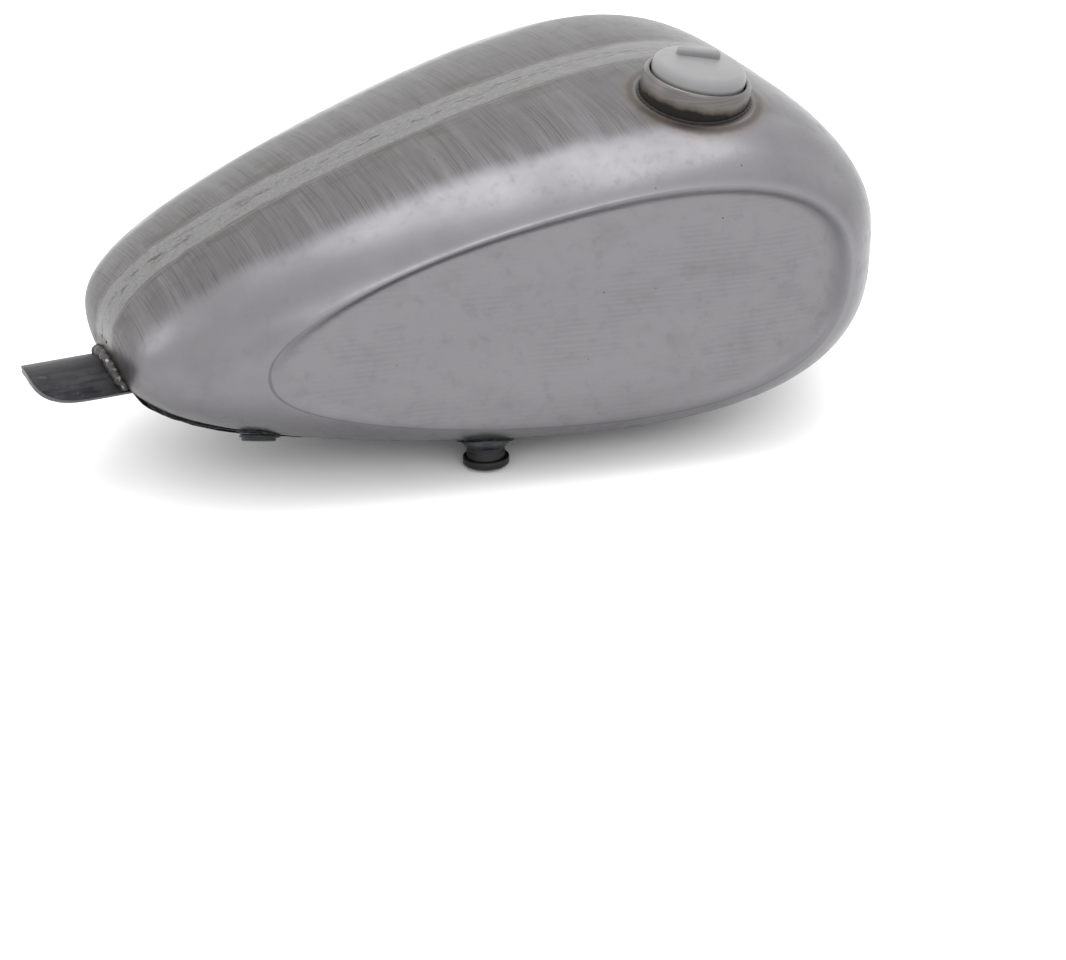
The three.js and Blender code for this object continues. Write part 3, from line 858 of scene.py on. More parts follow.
@dataclass(frozen=True)
class NeckSteel:
    """Satin turned ring, burnt towards its weld."""

    satin: Colour = (0.129, 0.123, 0.119)
    axis: Triple = (0.132144, -0.098615, 0.986314)
    base: float = 169.61

    def build(self, name: str) -> bpy.types.Material:
        """Make the material, named as given."""
        g = Graph(name)
        height = g.minus(g.along(self.axis), self.base)
        rise = g.plus(height, g.math("MULTIPLY_ADD", g.noise((14, 14, 30), detail=3), 6.0, -3.0))
        ring = g.noise((60, 60, 0.5), detail=2)
        colour = g.mix(g.step(ring, 0.4, 0.62), tuple(0.8 * c for c in self.satin), self.satin)
        colour = g.mix(g.step(g.noise((20, 20, 4), detail=4), 0.5, 0.7, 0.5), colour, (0.09, 0.0855, 0.0825))
        colour = g.mix(g.step(rise, 4.2, -0.2, 0.8), colour, (0.0638, 0.0495, 0.0375))
        soot = g.step(rise, 0.8, -1.8)
        colour = g.mix(soot, colour, (0.008, 0.007, 0.006))
        g.bump(g.plus(ring, g.noise((2, 2, 2), detail=3)), 0.0001, 0.5)
        rough = g.blend(soot, g.blend(ring, 0.3, 0.4), 0.85)
        return g.finish(colour, rough, g.minus(1.0, soot), 0.2)


@dataclass(frozen=True)
class MouldedPlastic:
    """Moulded plastic with faint moulding clouds, scuffs and specks."""

    colour: Colour
    fleck: Colour
    roughness: float
    fleck_part: float

    def build(self, name: str) -> bpy.types.Material:
        """Make the material, named as given."""
        g = Graph(name)
        cloud = g.noise((18, 18, 18), detail=4)
        scuff = g.noise((6, 1.2, 2.5), detail=4, rough=0.7)
        colour = g.mix(g.step(cloud, 0.35, 0.7, 0.5), self.colour, tuple(0.9 * c for c in self.colour))
        colour = g.mix(g.step(scuff, 0.6, 0.78, self.fleck_part), colour, self.fleck)
        rough = g.blend(cloud, self.roughness - 0.06, self.roughness + 0.08)
        g.bump(g.plus(g.times(cloud, 2.0), g.noise((0.9, 0.9, 0.9), detail=2)), 0.00008, 0.5)
        return g.finish(colour, rough, 0.0, 0.3)


class Finishes:
    """All of the tank's finishes, made once."""

    def __init__(self) -> None:
        """Build every material."""
        self.pressed = PressedSteel().build("pressed_steel")
        self.scaled = ScaledSteel().build("mill_scale")
        # The tunnel's lower edge gets painted shade and soot.
        self.tunnel = ScaledSteel((0.03, 0.03, 0.032), (0.1, 0.099, 0.102), 0.4, True).build("tunnel_steel")
        self.collar = ScaledSteel((0.026, 0.029, 0.034), (0.064, 0.069, 0.077), 0.34).build("collar_steel")
        self.cut = CutEdgeSteel().build("sawn_edge")
        burnt = WeldMetal((0.007, 0.0065, 0.006), (0.06, 0.058, 0.056), (0.02, 0.014, 0.011))
        self.burnt = burnt.build("burnt_weld")
        soot = WeldMetal((0.004, 0.0035, 0.003), (0.02, 0.017, 0.015), (0.009, 0.006, 0.005), 0.3, 0.0)
        self.soot = soot.build("sooty_weld")
        bright = WeldMetal((0.06, 0.058, 0.058), (0.4, 0.39, 0.385), (0.036, 0.031, 0.028), 0.5)
        self.bright = bright.build("bright_weld")
        self.neck = NeckSteel().build("neck_steel")
        white = MouldedPlastic((0.165, 0.165, 0.168), (0.115, 0.113, 0.11), 0.42, 0.2)
        self.white = white.build("white_plastic")
        black = MouldedPlastic((0.005, 0.005, 0.0055), (0.018, 0.018, 0.019), 0.38, 0.5)
        self.black = black.build("black_plastic")


def dress(piece: bpy.types.Object, *materials: bpy.types.Material) -> None:
    """Put materials in a piece's slots."""
    piece.data.materials.clear()
    for material in materials:
        piece.data.materials.append(material)


# ---------------------------------------------------------------- shells


@dataclass
class Shells:
    """The two pressed halves and the strip that joins them."""

    finishes: Finishes
    around: int = 384
    dish_rings: int = 30
    outer_rings: int = 44
    sheet: float = 2.0
    neck_hole: float = 31.2
    petcock_hole: float = 15.8
    crossover_hole: float = 10.7

    def build(self) -> None:
        """Build both halves and the seam strip."""
        for side in Side:
            self._half(side)
        self._seam()

    def _reaches(self) -> list[float]:
        """Rings of the dish, close together towards the crest."""
        return [1 - (1 - i / self.dish_rings) ** 1.7 for i in range(1, self.dish_rings + 1)]

    def _end_of_ray(self, angle: float) -> Vector:
        """Where a line across the side ends: on the seam strip or on the tunnel's edge.

        Args:
            angle: The line's angle round the dish.

        Returns:
            The place seen from the side.
        """
        middle = Vector((SHAPE.dish_x, 0, SHAPE.dish_z))
        direction = (SHAPE.dish_place(1.0, angle) - middle).normalized()
        inside, outside = 0.0, (SHAPE.hit(middle, direction) - middle).length
        for _ in range(36):
            half = (inside + outside) / 2
            place = middle + direction * half
            stop = max(SHAPE.tunnel_half(place.x, place.z) + 0.25, SHAPE.seam_half)
            if SHAPE.half_width(place.x, place.z) > stop:
                inside = half
            else:
                outside = half
        return middle + direction * inside

    def _half(self, side: Side) -> None:
        """Build one pressed half.

        Args:
            side: Which half.
        """
        angles = [math.tau * j / self.around for j in range(self.around)]
        rings: list[list[Vector]] = []
        marks: list[list[float]] = []
        for reach in self._reaches():
            ring = []
            for angle in angles:
                place = SHAPE.dish_place(reach, angle)
                width = SHAPE.half_width(place.x, place.z) - SHAPE.dish_depth(reach, angle)
                ring.append(Vector((place.x, side.value * width, place.z)))
            rings.append(ring)
            marks.append([reach] * self.around)
        ends = [self._end_of_ray(angle) for angle in angles]
        for i in range(1, self.outer_rings + 1):
            left = 1 - i / self.outer_rings
            ring = []
            for angle, end in zip(angles, ends):
                crest = SHAPE.dish_place(1.0, angle)
                part = left ** mix(2.3, 3.4, math.cos(angle) ** 2)
                place = end.lerp(crest, part)
                ring.append(Vector((place.x, side.value * SHAPE.half_width(place.x, place.z), place.z)))
            rings.append(ring)
            marks.append([1 + i / self.outer_rings] * self.around)

        bm = bmesh.new()
        reach_layer, fin_layer, end_layer, face_layer = self._layers(bm)
        rows = skin_rings(bm, rings, True)
        first_ring = set(rows[0])
        open_edges = [edge for edge in bm.edges if edge.is_boundary and edge.verts[0] in first_ring]
        bmesh.ops.holes_fill(bm, edges=open_edges, sides=0)
        inner = [f for f in bm.faces if len(f.verts) > 4]
        bmesh.ops.poke(bm, faces=inner)
        for row, mark in zip(rows, marks):
            for vert, value, angle in zip(row, mark, angles):
                vert[reach_layer] = value
                vert[face_layer] = smooth(0.6 * math.cos(angle) + 0.8 * math.sin(angle), -0.75, 0.45)
        for vert in bm.verts:
            vert[fin_layer], vert[end_layer] = self._gaps(vert.co)
        bmesh.ops.recalc_face_normals(bm, faces=bm.faces)
        probe = max(bm.faces, key=lambda f: abs(f.calc_center_median().y))
        if probe.normal.y * side.value < 0:
            bmesh.ops.reverse_faces(bm, faces=bm.faces)
        name = f"{side.word}_shell"
        piece = finish_mesh(f"{name}_skin", bm, "tank")
        add_modifier(piece, "SOLIDIFY", thickness=self.sheet / 1000, offset=-1.0, use_even_offset=True)
        cutters = [self._cutter(crossover_frame(side), self.crossover_hole)]
        if side is Side.RIGHT:
            cutters.append(self._cutter(NECK_FRAME, self.neck_hole))
            cutters.append(self._cutter(PETCOCK_FRAME, self.petcock_hole))
        for cutter in cutters:
            add_modifier(piece, "BOOLEAN", operation="DIFFERENCE", solver="EXACT", object=cutter)
        bake_modifiers(piece)
        for cutter in cutters:
            bpy.data.objects.remove(cutter)
        keep_sharp(piece, 50)
        dress(piece, self.finishes.pressed)
        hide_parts(name)

    def _layers(self, bm: bmesh.types.BMesh) -> list[bmesh.types.BMLayerItem]:
        """Make the layers that the finish reads, before any vertex."""
        names = ("dish_reach", "fin_gap", "end_gap", "crest_face")
        return [bm.verts.layers.float.new(name) for name in names]

    def _gaps(self, place: Vector) -> tuple[float, float]:
        """Distance from the tunnel's edge below and from the saddles' ends."""
        half = mix(*SHAPE.tunnel_halves, place.x / SHAPE.length)
        fin = abs(abs(place.y) - half) if place.z < -8 else 99.0
        if place.z > -34 and fin < 90:
            fin = min(fin + (place.z + 34) * 0.35, 99.0)
        reach = math.hypot(place.y, place.z + 46.6)
        near_end = min(place.x, SHAPE.length - place.x)
        end = math.hypot(max(reach - 36, 0.0), near_end * 0.9) if place.z > -50 else 99.0
        return fin, min(end, 99.0)

    def _cutter(self, matrix: Matrix, radius: float) -> bpy.types.Object:
        """A round cutter on a fitting's axis, in the row frame."""
        bm = bmesh.new()
        bmesh.ops.create_cone(
            bm, cap_ends=True, segments=64, radius1=radius, radius2=radius, depth=60, matrix=matrix
        )
        bmesh.ops.transform(bm, matrix=TANK_TO_ROW, verts=bm.verts)
        mesh = bpy.data.meshes.new("cutter")
        bm.to_mesh(mesh)
        bm.free()
        cutter = bpy.data.objects.new("cutter", mesh)
        bpy.context.scene.collection.objects.link(cutter)
        return cutter

    def _seam(self) -> None:
        """Build the strip along the middle, from tunnel end to tunnel end."""
        rows = []
        count = 260
        middle = Vector((SHAPE.dish_x, 0, SHAPE.dish_z))
        low_rear = SHAPE.hit(Vector((60, 0, SHAPE.tunnel_roof)), Vector((-1, 0, 0))) - middle
        low_front = SHAPE.hit(Vector((380, 0, SHAPE.tunnel_roof)), Vector((1, 0, 0))) - middle
        start = math.atan2(low_rear.z, low_rear.x) % math.tau
        end = math.atan2(low_front.z, low_front.x)
        for i in range(count + 1):
            part = i / count
            angle = mix(start, end, part)
            direction = Vector((math.cos(angle), 0, math.sin(angle)))
            row = []
            for j in range(7):
                y = mix(-SHAPE.seam_half, SHAPE.seam_half, j / 6)
                row.append(SHAPE.hit(Vector((middle.x, y, middle.z)), direction))
            rows.append(row)
        bm = bmesh.new()
        reach_layer, fin_layer, end_layer, _ = self._layers(bm)
        skin_rings(bm, rows, False)
        for vert in bm.verts:
            vert[reach_layer] = 2.0
            vert[fin_layer] = 99.0
            vert[end_layer] = self._gaps(vert.co)[1]
        bmesh.ops.recalc_face_normals(bm, faces=bm.faces)
        top = max(bm.faces, key=lambda f: f.calc_center_median().z)
        if top.normal.z < 0:
            bmesh.ops.reverse_faces(bm, faces=bm.faces)
        piece = finish_mesh("seam_strip", bm, "tank")
        add_modifier(piece, "SOLIDIFY", thickness=self.sheet / 1000, offset=-1.0)
        bake_modifiers(piece)
        keep_sharp(piece, 50)
        dress(piece, self.finishes.pressed)
        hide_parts("top_seam_weld")


# ---------------------------------------------------------------- tunnel and saddles


@dataclass
class Tunnel:
    """The arched channel for the frame's backbone, its fins and its two welds."""

    finishes: Finishes
    wall: float = 2.0
    fin: float = 4.4
    bead: float = 2.9

    def build(self) -> None:
        """Build the channel and both welds."""
        self._channel()
        for side in Side:
            self._weld(side)

    def _channel(self) -> None:
        """Build the channel, trimmed to the body with fins left proud below."""
        spring = SHAPE.tunnel_roof - SHAPE.tunnel_arch
        rows = []
        for i in range(91):
            x = mix(-20, SHAPE.length + 20, i / 90)
            half = mix(*SHAPE.tunnel_halves, x / SHAPE.length)
            row = [Vector((x, half, z)) for z in (-110, -90, -80, -70, -60, -50, -44)]
            for j in range(49):
                angle = math.pi * j / 48
                row.append(Vector((x, half * math.cos(angle), spring + SHAPE.tunnel_arch * math.sin(angle))))
            row += [Vector((x, -half, z)) for z in (-44, -50, -60, -70, -80, -90, -110)]
            rows.append(row)
        bm = bmesh.new()
        skin_rings(bm, rows, False)
        bmesh.ops.recalc_face_normals(bm, faces=bm.faces)
        top = max(bm.faces, key=lambda f: f.calc_center_median().z)
        if top.normal.z < 0:
            bmesh.ops.reverse_faces(bm, faces=bm.faces)
        piece = finish_mesh("tunnel_channel", bm, "tank")
        tool = self._trim_tool()
        add_modifier(piece, "SOLIDIFY", thickness=self.wall / 1000, offset=-1.0)
        add_modifier(piece, "BOOLEAN", operation="INTERSECT", solver="EXACT", object=tool)
        bake_modifiers(piece)
        bpy.data.objects.remove(tool)
        self._edge_gaps(piece)
        keep_sharp(piece, 35)
        dress(piece, self.finishes.tunnel)
        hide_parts("tunnel")

    def _edge_gaps(self, piece: bpy.types.Object) -> None:
        """Store each vertex's height over the channel's lower edge, for the painted shade and soot there."""
        back = TANK_TO_ROW.inverted()
        gaps = []
        for vert in piece.data.vertices:
            place = back @ vert.co
            x = min(max(place.x, 6.0), SHAPE.length - 6.0)
            gaps.append(place.z - SHAPE.belly_height(x, abs(place.y)) + self.fin)
        layer = piece.data.attributes.new("edge_gap", "FLOAT", "POINT")
        layer.data.foreach_set("value", gaps)

    def _trim_tool(self) -> bpy.types.Object:
        """The body, grown below by the fins' height, as a closed cutter in the row frame."""
        rings = []
        stations, around = 110, 160
        for i in range(1, stations):
            x = SHAPE.length * (1 - math.cos(math.pi * i / stations)) / 2
            cut = SHAPE.section(x)
            ring = []
            for j in range(around):
                angle = math.tau * j / around
                cos, sin = math.cos(angle), math.sin(angle)
                power = cut.crown_power if sin >= 0 else cut.belly_power
                reach = (abs(cos) ** power + abs(sin) ** power) ** (-1 / power)
                height = cut.up if sin >= 0 else cut.down
                ring.append(Vector((x, reach * cos * cut.half, cut.middle + reach * sin * height)))
            rings.append(ring)
        bm = bmesh.new()
        skin_rings(bm, rings, True)
        close_ends(bm)
        bm.normal_update()
        moves = {}
        for vert in bm.verts:
            x, y, z = vert.co
            ragged = 0.45 * wobble(x, y * 0.2, 5, 6.0) + 0.3 * wobble(x, y * 0.2, 40, 2.5)
            grow = 0.15 + (self.fin - 0.4 + ragged) * smooth(z, -21, -27) * mix(0.45, 1.0, smooth(x, 0, 70))
            moves[vert] = vert.normal * grow
        for vert, move in moves.items():
            vert.co += move
        bmesh.ops.transform(bm, matrix=TANK_TO_ROW, verts=bm.verts)
        mesh = bpy.data.meshes.new("trim")
        bm.to_mesh(mesh)
        bm.free()
        tool = bpy.data.objects.new("trim", mesh)
        bpy.context.scene.collection.objects.link(tool)
        return tool

    def _weld(self, side: Side) -> None:
        """Build the rippled bead along one fin.

        Args:
            side: Which fin.
        """
        path = []
        count = 520
        for i in range(count):
            x = mix(11, 428, i / (count - 1))
            y = mix(*SHAPE.tunnel_halves, x / SHAPE.length) + 0.9 + 0.25 * wobble(x, side.value * 30, 0, 9)
            path.append(Vector((x, side.value * y, SHAPE.belly_height(x, y) + 0.6)))

        def radius(i: int, angle: float) -> float:
            """The bead's radius, with the ripples of its passes."""
            ripple = 0.22 * abs(math.sin(i * 0.62 + 0.6 * wobble(i, 0, 0, 20)))
            lump = 0.4 * wobble(i * 0.8, math.cos(angle) * 3, side.value * 20, 6)
            ends = min(1.0, (i + 3) / 12, (count - i + 2) / 12)
            return (self.bead + ripple + lump) * ends

        bm = sweep(path, radius, 12)
        piece = finish_mesh(f"tunnel_bead_{side.word}", bm, "tank")
        dress(piece, self.finishes.burnt)
        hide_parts(f"tunnel_weld_{side.word}")


@dataclass(frozen=True)
class Saddle:
    """One split pipe tongue with its end weld and its inner bead."""

    word: str
    tip: float
    inner: float
    tongue: float
    power: float
    radius: float = 35.0
    wall: float = 4.0
    crown: float = -11.6
    half_width: float = 25.2

    @property
    def centre(self) -> float:
        """Height of the pipe's axis."""
        return self.crown - self.radius

    @property
    def reach(self) -> float:
        """Half the angle that the pipe's arc covers."""
        return math.asin(self.half_width / self.radius)

    def build(self, finishes: Finishes) -> None:
        """Build the tongue, its weld and its inner bead.

        Args:
            finishes: The tank's finishes.
        """
        self._tongue(finishes)
        self._end_weld(finishes)
        self._inner_bead(finishes)

    def _tongue(self, finishes: Finishes) -> None:
        """Build the curved plate with its rounded outer end and sawn edges."""
        inward = math.copysign(1.0, self.inner - self.tip)
        rows = []
        for i in range(61):
            part = i / 60
            row = []
            for j in range(49):
                across = math.sin(math.pi / 2 * (j / 24 - 1))
                angle = self.reach * across
                q = min(abs(math.sin(angle)) / math.sin(self.reach), 1.0)
                back = self.tongue * (1 - max(1 - q**self.power, 0.0) ** (1 / self.power))
                ragged = 0.35 * wobble(angle * 40, 0, self.tip, 3.0) * (1 - part) ** 8
                x = mix(self.tip + inward * (back + 0.3 + abs(ragged)), self.inner, part)
                row.append(
                    Vector((x, self.radius * math.sin(angle), self.centre + self.radius * math.cos(angle)))
                )
            rows.append(row)
        bm = bmesh.new()
        skin_rings(bm, rows, False)
        bmesh.ops.recalc_face_normals(bm, faces=bm.faces)
        top = max(bm.faces, key=lambda f: f.calc_center_median().z)
        if top.normal.z < 0:
            bmesh.ops.reverse_faces(bm, faces=bm.faces)
        piece = finish_mesh(f"{self.word}_saddle_tongue", bm, "tank")
        dress(piece, finishes.scaled, finishes.cut)
        add_modifier(piece, "SOLIDIFY", thickness=self.wall / 1000, offset=-1.0, material_offset_rim=1)
        add_modifier(
            piece, "BEVEL", width=0.0005, segments=2, limit_method="ANGLE", angle_limit=math.radians(50)
        )
        bake_modifiers(piece)
        keep_sharp(piece, 50)
        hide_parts(f"{self.word}_saddle")

    def _end_weld(self, finishes: Finishes) -> None:
        """Build the lumpy bead that closes the shells' end round the saddle."""
        outward = Vector((-1 if self.tip < 0 else 1, 0, 0))
        count = 150
        path = []
        for i in range(count):
            angle = mix(-self.reach, self.reach, i / (count - 1)) * 0.96
            lift = 1.0 + 0.5 * wobble(i * 0.3, 0, self.tip, 4)
            y = (self.radius + lift) * math.sin(angle)
            z = self.centre + (self.radius + lift) * math.cos(angle)
            path.append(SHAPE.hit(Vector((SHAPE.length / 2, y, z)), outward) + outward * 0.4)

        def radius(i: int, angle: float) -> float:
            """The bead's radius, with coarse passes and lumps."""
            ripple = 0.5 * abs(math.sin(i * 0.33 + wobble(i, 3, 0, 12)))
            lump = 0.9 * wobble(i * 0.7, math.cos(angle) * 4, math.sin(angle) * 4 + self.tip, 5)
            return min(3.3 + ripple + lump, 4.6) * min(1.0, (i + 4) / 10, (count - i + 3) / 10)

        bm = sweep(path, radius, 16)
        piece = finish_mesh(f"{self.word}_saddle_bead", bm, "tank")
        dress(piece, finishes.bright)
        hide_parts(f"{self.word}_saddle_weld")

    def _inner_bead(self, finishes: Finishes) -> None:
        """Build the burnt bead at the saddle's inner end, under the roof."""
        inward = math.copysign(1.0, self.inner - self.tip)
        path = []
        for i in range(60):
            y = mix(-6.2, 6.2, i / 59)
            path.append(Vector((self.inner + inward * 3.6, y, self.crown - 3.6 - y * y / 110)))

        def radius(i: int, angle: float) -> float:
            """The bead's radius."""
            lump = 0.7 * wobble(i * 0.6, math.cos(angle) * 3, math.sin(angle) * 3 + self.tip, 4)
            return (3.0 + lump) * min(1.0, (i + 3) / 9, (62 - i) / 9)

        bm = sweep(path, radius, 14)
        piece = finish_mesh(f"{self.word}_saddle_inner_bead", bm, "tank")
        dress(piece, finishes.burnt)
        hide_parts(f"{self.word}_saddle_tack")


# ---------------------------------------------------------------- fittings


NECK_AXIS = Vector((0.134, -0.1, 1)).normalized()
NECK_FRAME = aim(Vector((*NECK_PLACE, SHAPE.crown_height(*NECK_PLACE))), NECK_AXIS)
PETCOCK_FRAME = aim(Vector((*OUTLET_PLACE, OUTLET_FACE)), Vector((0, -0.1, -0.995)).normalized())


def crossover_frame(side: Side) -> Matrix:
    """The frame of one crossover bung: its foot on the skin and its axis outwards."""
    direction = Vector((-0.2, 0.44 * side.value, -0.875)).normalized()
    x, y = CROSSOVER_PLACE
    return aim(Vector((x, y * side.value, SHAPE.belly_height(x, y))), direction)


def skin_ring(matrix: Matrix, radius: float, count: int) -> list[Vector]:
    """The line where a round fitting of a radius meets the body's skin.

    Args:
        matrix: The fitting's frame.
        radius: Radius about its axis.
        count: Number of places.

    Returns:
        Places on the skin.
    """
    direction = (matrix.to_3x3() @ Vector((0, 0, 1))).normalized()
    places = []
    for i in range(count):
        angle = math.tau * i / count
        start = matrix @ Vector((radius * math.cos(angle), radius * math.sin(angle), -25))
        places.append(SHAPE.hit(start, direction))
    return places


def ring_weld(matrix: Matrix, radius: float, thickness: float, seed: float) -> bmesh.types.BMesh:
    """A lumpy weld ring where a fitting meets the skin.

    Args:
        matrix: The fitting's frame.
        radius: Radius of the fitting.
        thickness: The bead's radius.
        seed: Moves the lumps.

    Returns:
        The ring's mesh.
    """
    count = max(90, int(radius * 9))

    def reach(i: int, angle: float) -> float:
        """The bead's radius, with the ripples of its passes."""
        turn = math.tau * i / count
        ripple = 0.14 * abs(math.sin(turn * radius * 0.9))
        lump = 0.3 * noise.noise(Vector((math.cos(turn) * 4, math.sin(turn) * 4, seed + math.cos(angle))))
        return thickness + ripple + lump

    return sweep(skin_ring(matrix, radius + 0.5, count), reach, 12, closed=True)


@dataclass
class FillerNeck:
    """The raised filler ring, its weld, and the white push-in cap."""

    finishes: Finishes
    radius: float = 31.0
    bore: float = 27.2
    rise: float = 10.0
    drop: float = 12.0
    cap_radius: float = 26.8
    cap_rise: float = 8.2
    cap_depth: float = 13.0
    cap_wall: float = 2.3
    tab_length: float = 25.0
    tab_width: float = 6.0
    tab_height: float = 5.0
    tab_offset: float = 8.6
    tab_turn: float = math.radians(-16)
    tab_bevel: float = 2.2

    def build(self) -> None:
        """Build the ring, its weld and the cap."""
        self._ring()
        bm = ring_weld(NECK_FRAME, self.radius, 1.1, 3.0)
        weld = finish_mesh("filler_neck_bead", bm, "tank")
        dress(weld, self.finishes.soot)
        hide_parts("filler_neck_weld")
        self._cap()

    def _ring(self) -> None:
        """Build the turned ring with its rolled lip."""
        r, b, h = self.radius, self.bore, self.rise
        profile = [
            (b, -self.drop),
            (r, -self.drop),
            (r, h - 3.4),
            (r - 0.35, h - 2.6),
            (r - 0.35, h - 1.6),
            (r - 0.9, h - 0.6),
            (r - 1.9, h - 0.05),
            (r - 2.7, h - 0.15),
            (b + 0.4, h - 0.6),
            (b, h - 1.4),
        ]
        bm = turned(profile, NECK_FRAME, 128, 0.25)
        piece = finish_mesh("filler_ring", bm, "tank")
        keep_sharp(piece, 40)
        dress(piece, self.finishes.neck)
        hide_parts("filler_neck")

    def _cap(self) -> None:
        """Build the domed cap with its skirt and its tab."""
        r, w = self.cap_radius, self.cap_wall
        top = self.rise + self.cap_rise
        bottom = self.rise - self.cap_depth
        profile = [(0.0, top)]
        for i in range(1, 13):
            part = i / 12
            profile.append(((r - 4.2) * part, top - 1.1 * part**2.4))
        for i in range(1, 9):
            angle = math.pi / 2 * i / 8
            profile.append((r - 4.2 + 4.0 * math.sin(angle), top - 1.1 - 4.2 * (1 - math.cos(angle))))
        profile += [
            (r, self.rise + 1.4),
            (r, self.rise + 0.4),
            (r - 0.3, self.rise - 1.0),
            (r - 0.5, bottom + 0.6),
            (r - 0.9, bottom),
            (r - w, bottom),
            (r - w, top - w - 4.5),
            (r - w - 3.5, top - w - 1.6),
            (0.0, top - w - 1.0),
        ]
        bm = turned(profile, Matrix.Identity(4), 128)
        made = bmesh.ops.create_cube(bm, size=1.0)["verts"]
        size = Matrix.Diagonal((self.tab_length, self.tab_width, self.tab_height + 2.2, 1.0))
        place = Matrix.Rotation(self.tab_turn, 4, "Z") @ Matrix.Translation(
            (0, self.tab_offset, top + self.tab_height / 2 - 2.1)
        )
        bmesh.ops.transform(bm, matrix=place @ size, verts=made)
        edges = list({edge for vert in made for edge in vert.link_edges})
        bmesh.ops.bevel(
            bm,
            geom=edges,
            offset=self.tab_bevel,
            offset_type="OFFSET",
            affect="EDGES",
            segments=5,
            profile=0.5,
            material=-1,
            clamp_overlap=True,
        )
        bmesh.ops.transform(bm, matrix=NECK_FRAME, verts=bm.verts)
        piece = finish_mesh("push_in_cap", bm, "filler_cap")
        keep_sharp(piece, 55)
        dress(piece, self.finishes.white)
        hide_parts("filler_cap")


@dataclass
class FuelOutlet:
    """The bevelled outlet collar under the right side, its weld and its black plug."""

    finishes: Finishes
    radius: float = 15.6
    lip: float = 12.6
    bore: float = 11.3
    depth: float = 18.0
    plug_neck: float = 11.0
    plug_neck_length: float = 7.5
    plug_head: float = 13.4
    plug_head_height: float = 5.0
    plug_insert: float = 8.0

    def build(self) -> None:
        """Build the collar, its weld and its plug."""
        profile = [
            (self.bore, 0),
            (self.lip, 0),
            (self.radius, -3.7),
            (self.radius, -self.depth),
            (self.bore, -self.depth),
        ]
        piece = finish_mesh("outlet_collar", turned(profile, PETCOCK_FRAME, 96, 0.35), "tank")
        keep_sharp(piece, 40)
        dress(piece, self.finishes.collar)
        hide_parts("petcock_bung")
        bead = ring_weld(PETCOCK_FRAME, self.radius - 0.6, 1.3, 8.0)
        weld = finish_mesh("outlet_bead", bead, "tank")
        dress(weld, self.finishes.burnt)
        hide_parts("petcock_bung_weld")
        self._plug()

    def _plug(self) -> None:
        """Build the flanged plug."""
        r, n, low = self.plug_head, self.plug_neck, self.plug_neck_length
        end = low + self.plug_head_height
        profile = [
            (0.0, end - 0.5),
            (r * 0.55, end - 0.5),
            (r * 0.6, end),
            (r - 0.9, end),
            (r, end - 0.9),
            (r, low + 0.7),
            (r - 0.7, low),
            (n, low),
            (n, low * 0.55),
            (n - 0.35, low * 0.5),
            (n - 0.35, 0.6),
            (n - 0.1, -self.plug_insert + 1),
            (n - 0.9, -self.plug_insert),
            (0.0, -self.plug_insert),
        ]
        bm = turned(profile, PETCOCK_FRAME, 96, 0.25)
        piece = finish_mesh("outlet_plug", bm, "petcock_plug")
        keep_sharp(piece, 40)
        dress(piece, self.finishes.black)
        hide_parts("petcock_plug")


@dataclass
class Crossover:
    """One small bung near the rear, its weld and its black plug."""

    finishes: Finishes
    side: Side
    radius: float = 10.5
    bore: float = 6.8
    rise: float = 1.5
    depth: float = 9.0
    gap: float = 0.3
    flange: float = 10.9
    disc: float = 9.6
    flange_height: float = 1.2
    height: float = 3.0
    stem: float = 6.4
    insert: float = 7.0

    def build(self) -> None:
        """Build the bung, its weld and its plug."""
        matrix = crossover_frame(self.side)
        word = self.side.word
        profile = [
            (self.bore, self.rise),
            (self.radius, self.rise),
            (self.radius, -self.depth),
            (self.bore, -self.depth),
        ]
        boss = turned(profile, matrix, 72, 0.35)
        bung = finish_mesh(f"crossover_boss_{word}", boss, "tank")
        keep_sharp(bung, 40)
        dress(bung, self.finishes.collar)
        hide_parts(f"crossover_bung_{word}")
        ring = ring_weld(matrix, self.radius, 1.5, 5.0)
        bead = finish_mesh(f"crossover_bead_{word}", ring, "tank")
        dress(bead, self.finishes.burnt)
        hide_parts(f"crossover_weld_{word}")
        base = self.rise + self.gap
        plug_profile = [
            (0.0, base + self.height - 0.35),
            (self.disc * 0.62, base + self.height - 0.35),
            (self.disc * 0.68, base + self.height),
            (self.disc - 0.6, base + self.height),
            (self.disc, base + self.height - 0.6),
            (self.disc, base + self.flange_height),
            (self.flange, base + self.flange_height - 0.2),
            (self.flange, base),
            (self.stem, base),
            (self.stem, base - self.insert + 0.8),
            (self.stem - 0.8, base - self.insert),
            (0.0, base - self.insert),
        ]
        bm = turned(plug_profile, matrix, 72, 0.2)
        plug = finish_mesh(f"crossover_stopper_{word}", bm, f"crossover_plug_{word}")
        keep_sharp(plug, 40)
        dress(plug, self.finishes.black)
        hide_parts(f"crossover_plug_{word}")


# ---------------------------------------------------------------- studio


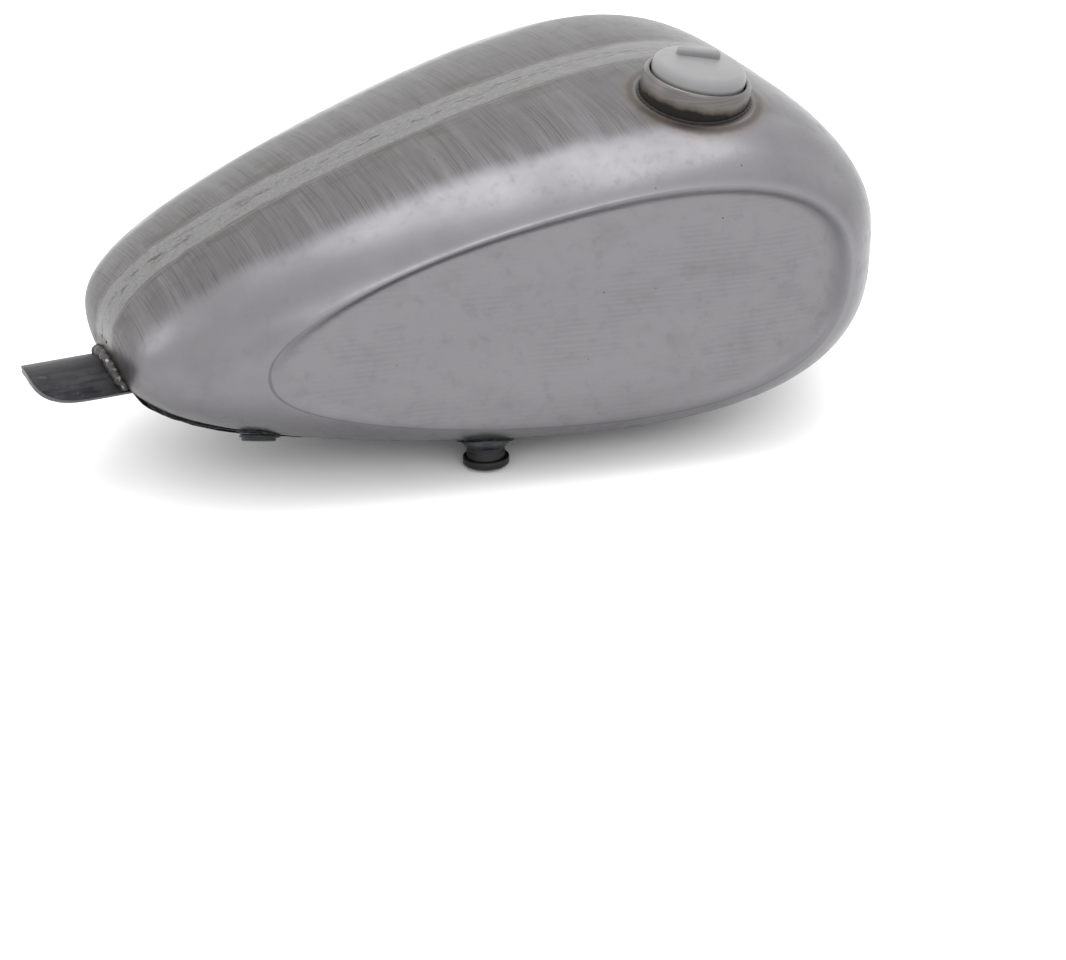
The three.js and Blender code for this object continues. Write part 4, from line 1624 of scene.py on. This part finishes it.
@dataclass
class Studio:
    """Pale floor, soft lights and the camera."""

    eye: tuple[float, float, float] = (-0.6023, -1.34, 0.74065)
    right: tuple[float, float, float] = (0.904415, -0.426209, 0.019503)
    down: tuple[float, float, float] = (-0.186993, -0.437058, -0.879781)
    forward: tuple[float, float, float] = (0.383494, 0.79204, -0.47498)
    focal_pixels: float = 2743.45
    frame_width: float = 1066.0
    sensor: float = 36.0

    def build(self) -> None:
        """Build the floor, the lights, the sky and the camera."""
        self._camera()
        self._floor()
        self._lights()
        self._sky()

    def _camera(self) -> None:
        """Place the camera."""
        data = bpy.data.cameras.new("camera")
        data.sensor_width = self.sensor
        data.lens = self.sensor * self.focal_pixels / self.frame_width
        data.clip_start = 0.05
        camera = bpy.data.objects.new("camera", data)
        bpy.context.scene.collection.objects.link(camera)
        columns = (Vector(self.right), -Vector(self.down), -Vector(self.forward))
        turn = Matrix((columns[0], columns[1], columns[2])).transposed().to_4x4()
        camera.matrix_world = Matrix.Translation(self.eye) @ turn
        bpy.context.scene.camera = camera

    def _floor(self) -> None:
        """Lay the pale floor."""
        bm = bmesh.new()
        bmesh.ops.create_grid(bm, x_segments=1, y_segments=1, size=6.0)
        mesh = bpy.data.meshes.new("floor")
        bm.to_mesh(mesh)
        bm.free()
        floor = bpy.data.objects.new("floor", mesh)
        bpy.context.scene.collection.objects.link(floor)
        material = bpy.data.materials.new("pale_floor")
        material.use_nodes = True
        shader = material.node_tree.nodes["Principled BSDF"]
        shader.inputs["Base Color"].default_value = (0.87, 0.87, 0.875, 1.0)
        shader.inputs["Roughness"].default_value = 0.8
        shader.inputs["Specular IOR Level"].default_value = 0.1
        mesh.materials.append(material)

    def _lights(self) -> None:
        """Hang the soft boxes."""
        self._box("overhead", (0.15, 0.1, 1.9), (0, 0, 0.1), (1.7, 1.1), 13)
        self._box("key", (-0.5, -2.0, 1.7), (0, 0, 0.1), (1.3, 0.7), 6)
        self._box("rear_side", (-2.0, 0.6, 1.1), (0, 0, 0.1), (1.0, 1.4), 7)
        self._box("front_side", (2.1, -0.4, 1.2), (0, 0, 0.1), (1.0, 1.4), 2)

    def _box(
        self,
        name: str,
        place: tuple[float, float, float],
        target: tuple[float, float, float],
        size: tuple[float, float],
        watts: float,
    ) -> None:
        """Hang one soft box.

        Args:
            name: The light's name.
            place: Where it hangs.
            target: Where it points.
            size: Its width and height.
            watts: Its power.
        """
        data = bpy.data.lights.new(name, "AREA")
        data.shape = "RECTANGLE"
        data.size, data.size_y = size
        data.energy = watts
        light = bpy.data.objects.new(name, data)
        bpy.context.scene.collection.objects.link(light)
        direction = Vector(target) - Vector(place)
        turn = direction.to_track_quat("-Z", "Y").to_matrix().to_4x4()
        light.matrix_world = Matrix.Translation(place) @ turn

    def _sky(self) -> None:
        """Light the room evenly."""
        world = bpy.data.worlds.new("studio")
        world.use_nodes = True
        background = world.node_tree.nodes["Background"]
        background.inputs["Color"].default_value = (1.0, 1.0, 1.0, 1.0)
        background.inputs["Strength"].default_value = 1.8
        bpy.context.scene.world = world
        bpy.context.scene.view_settings.view_transform = "Standard"


def main() -> None:
    """Build the whole scene."""
    logging.basicConfig(level=logging.INFO, format="%(name)s %(message)s")
    finishes = Finishes()
    Shells(finishes).build()
    Tunnel(finishes).build()
    Saddle("rear", -46, 103, 36, 3.5).build(finishes)
    Saddle("front", 485, 414, 20, 2.4).build(finishes)
    FillerNeck(finishes).build()
    FuelOutlet(finishes).build()
    for side in Side:
        Crossover(finishes, side).build()
    Studio().build()


if __name__ == "__main__":
    main()
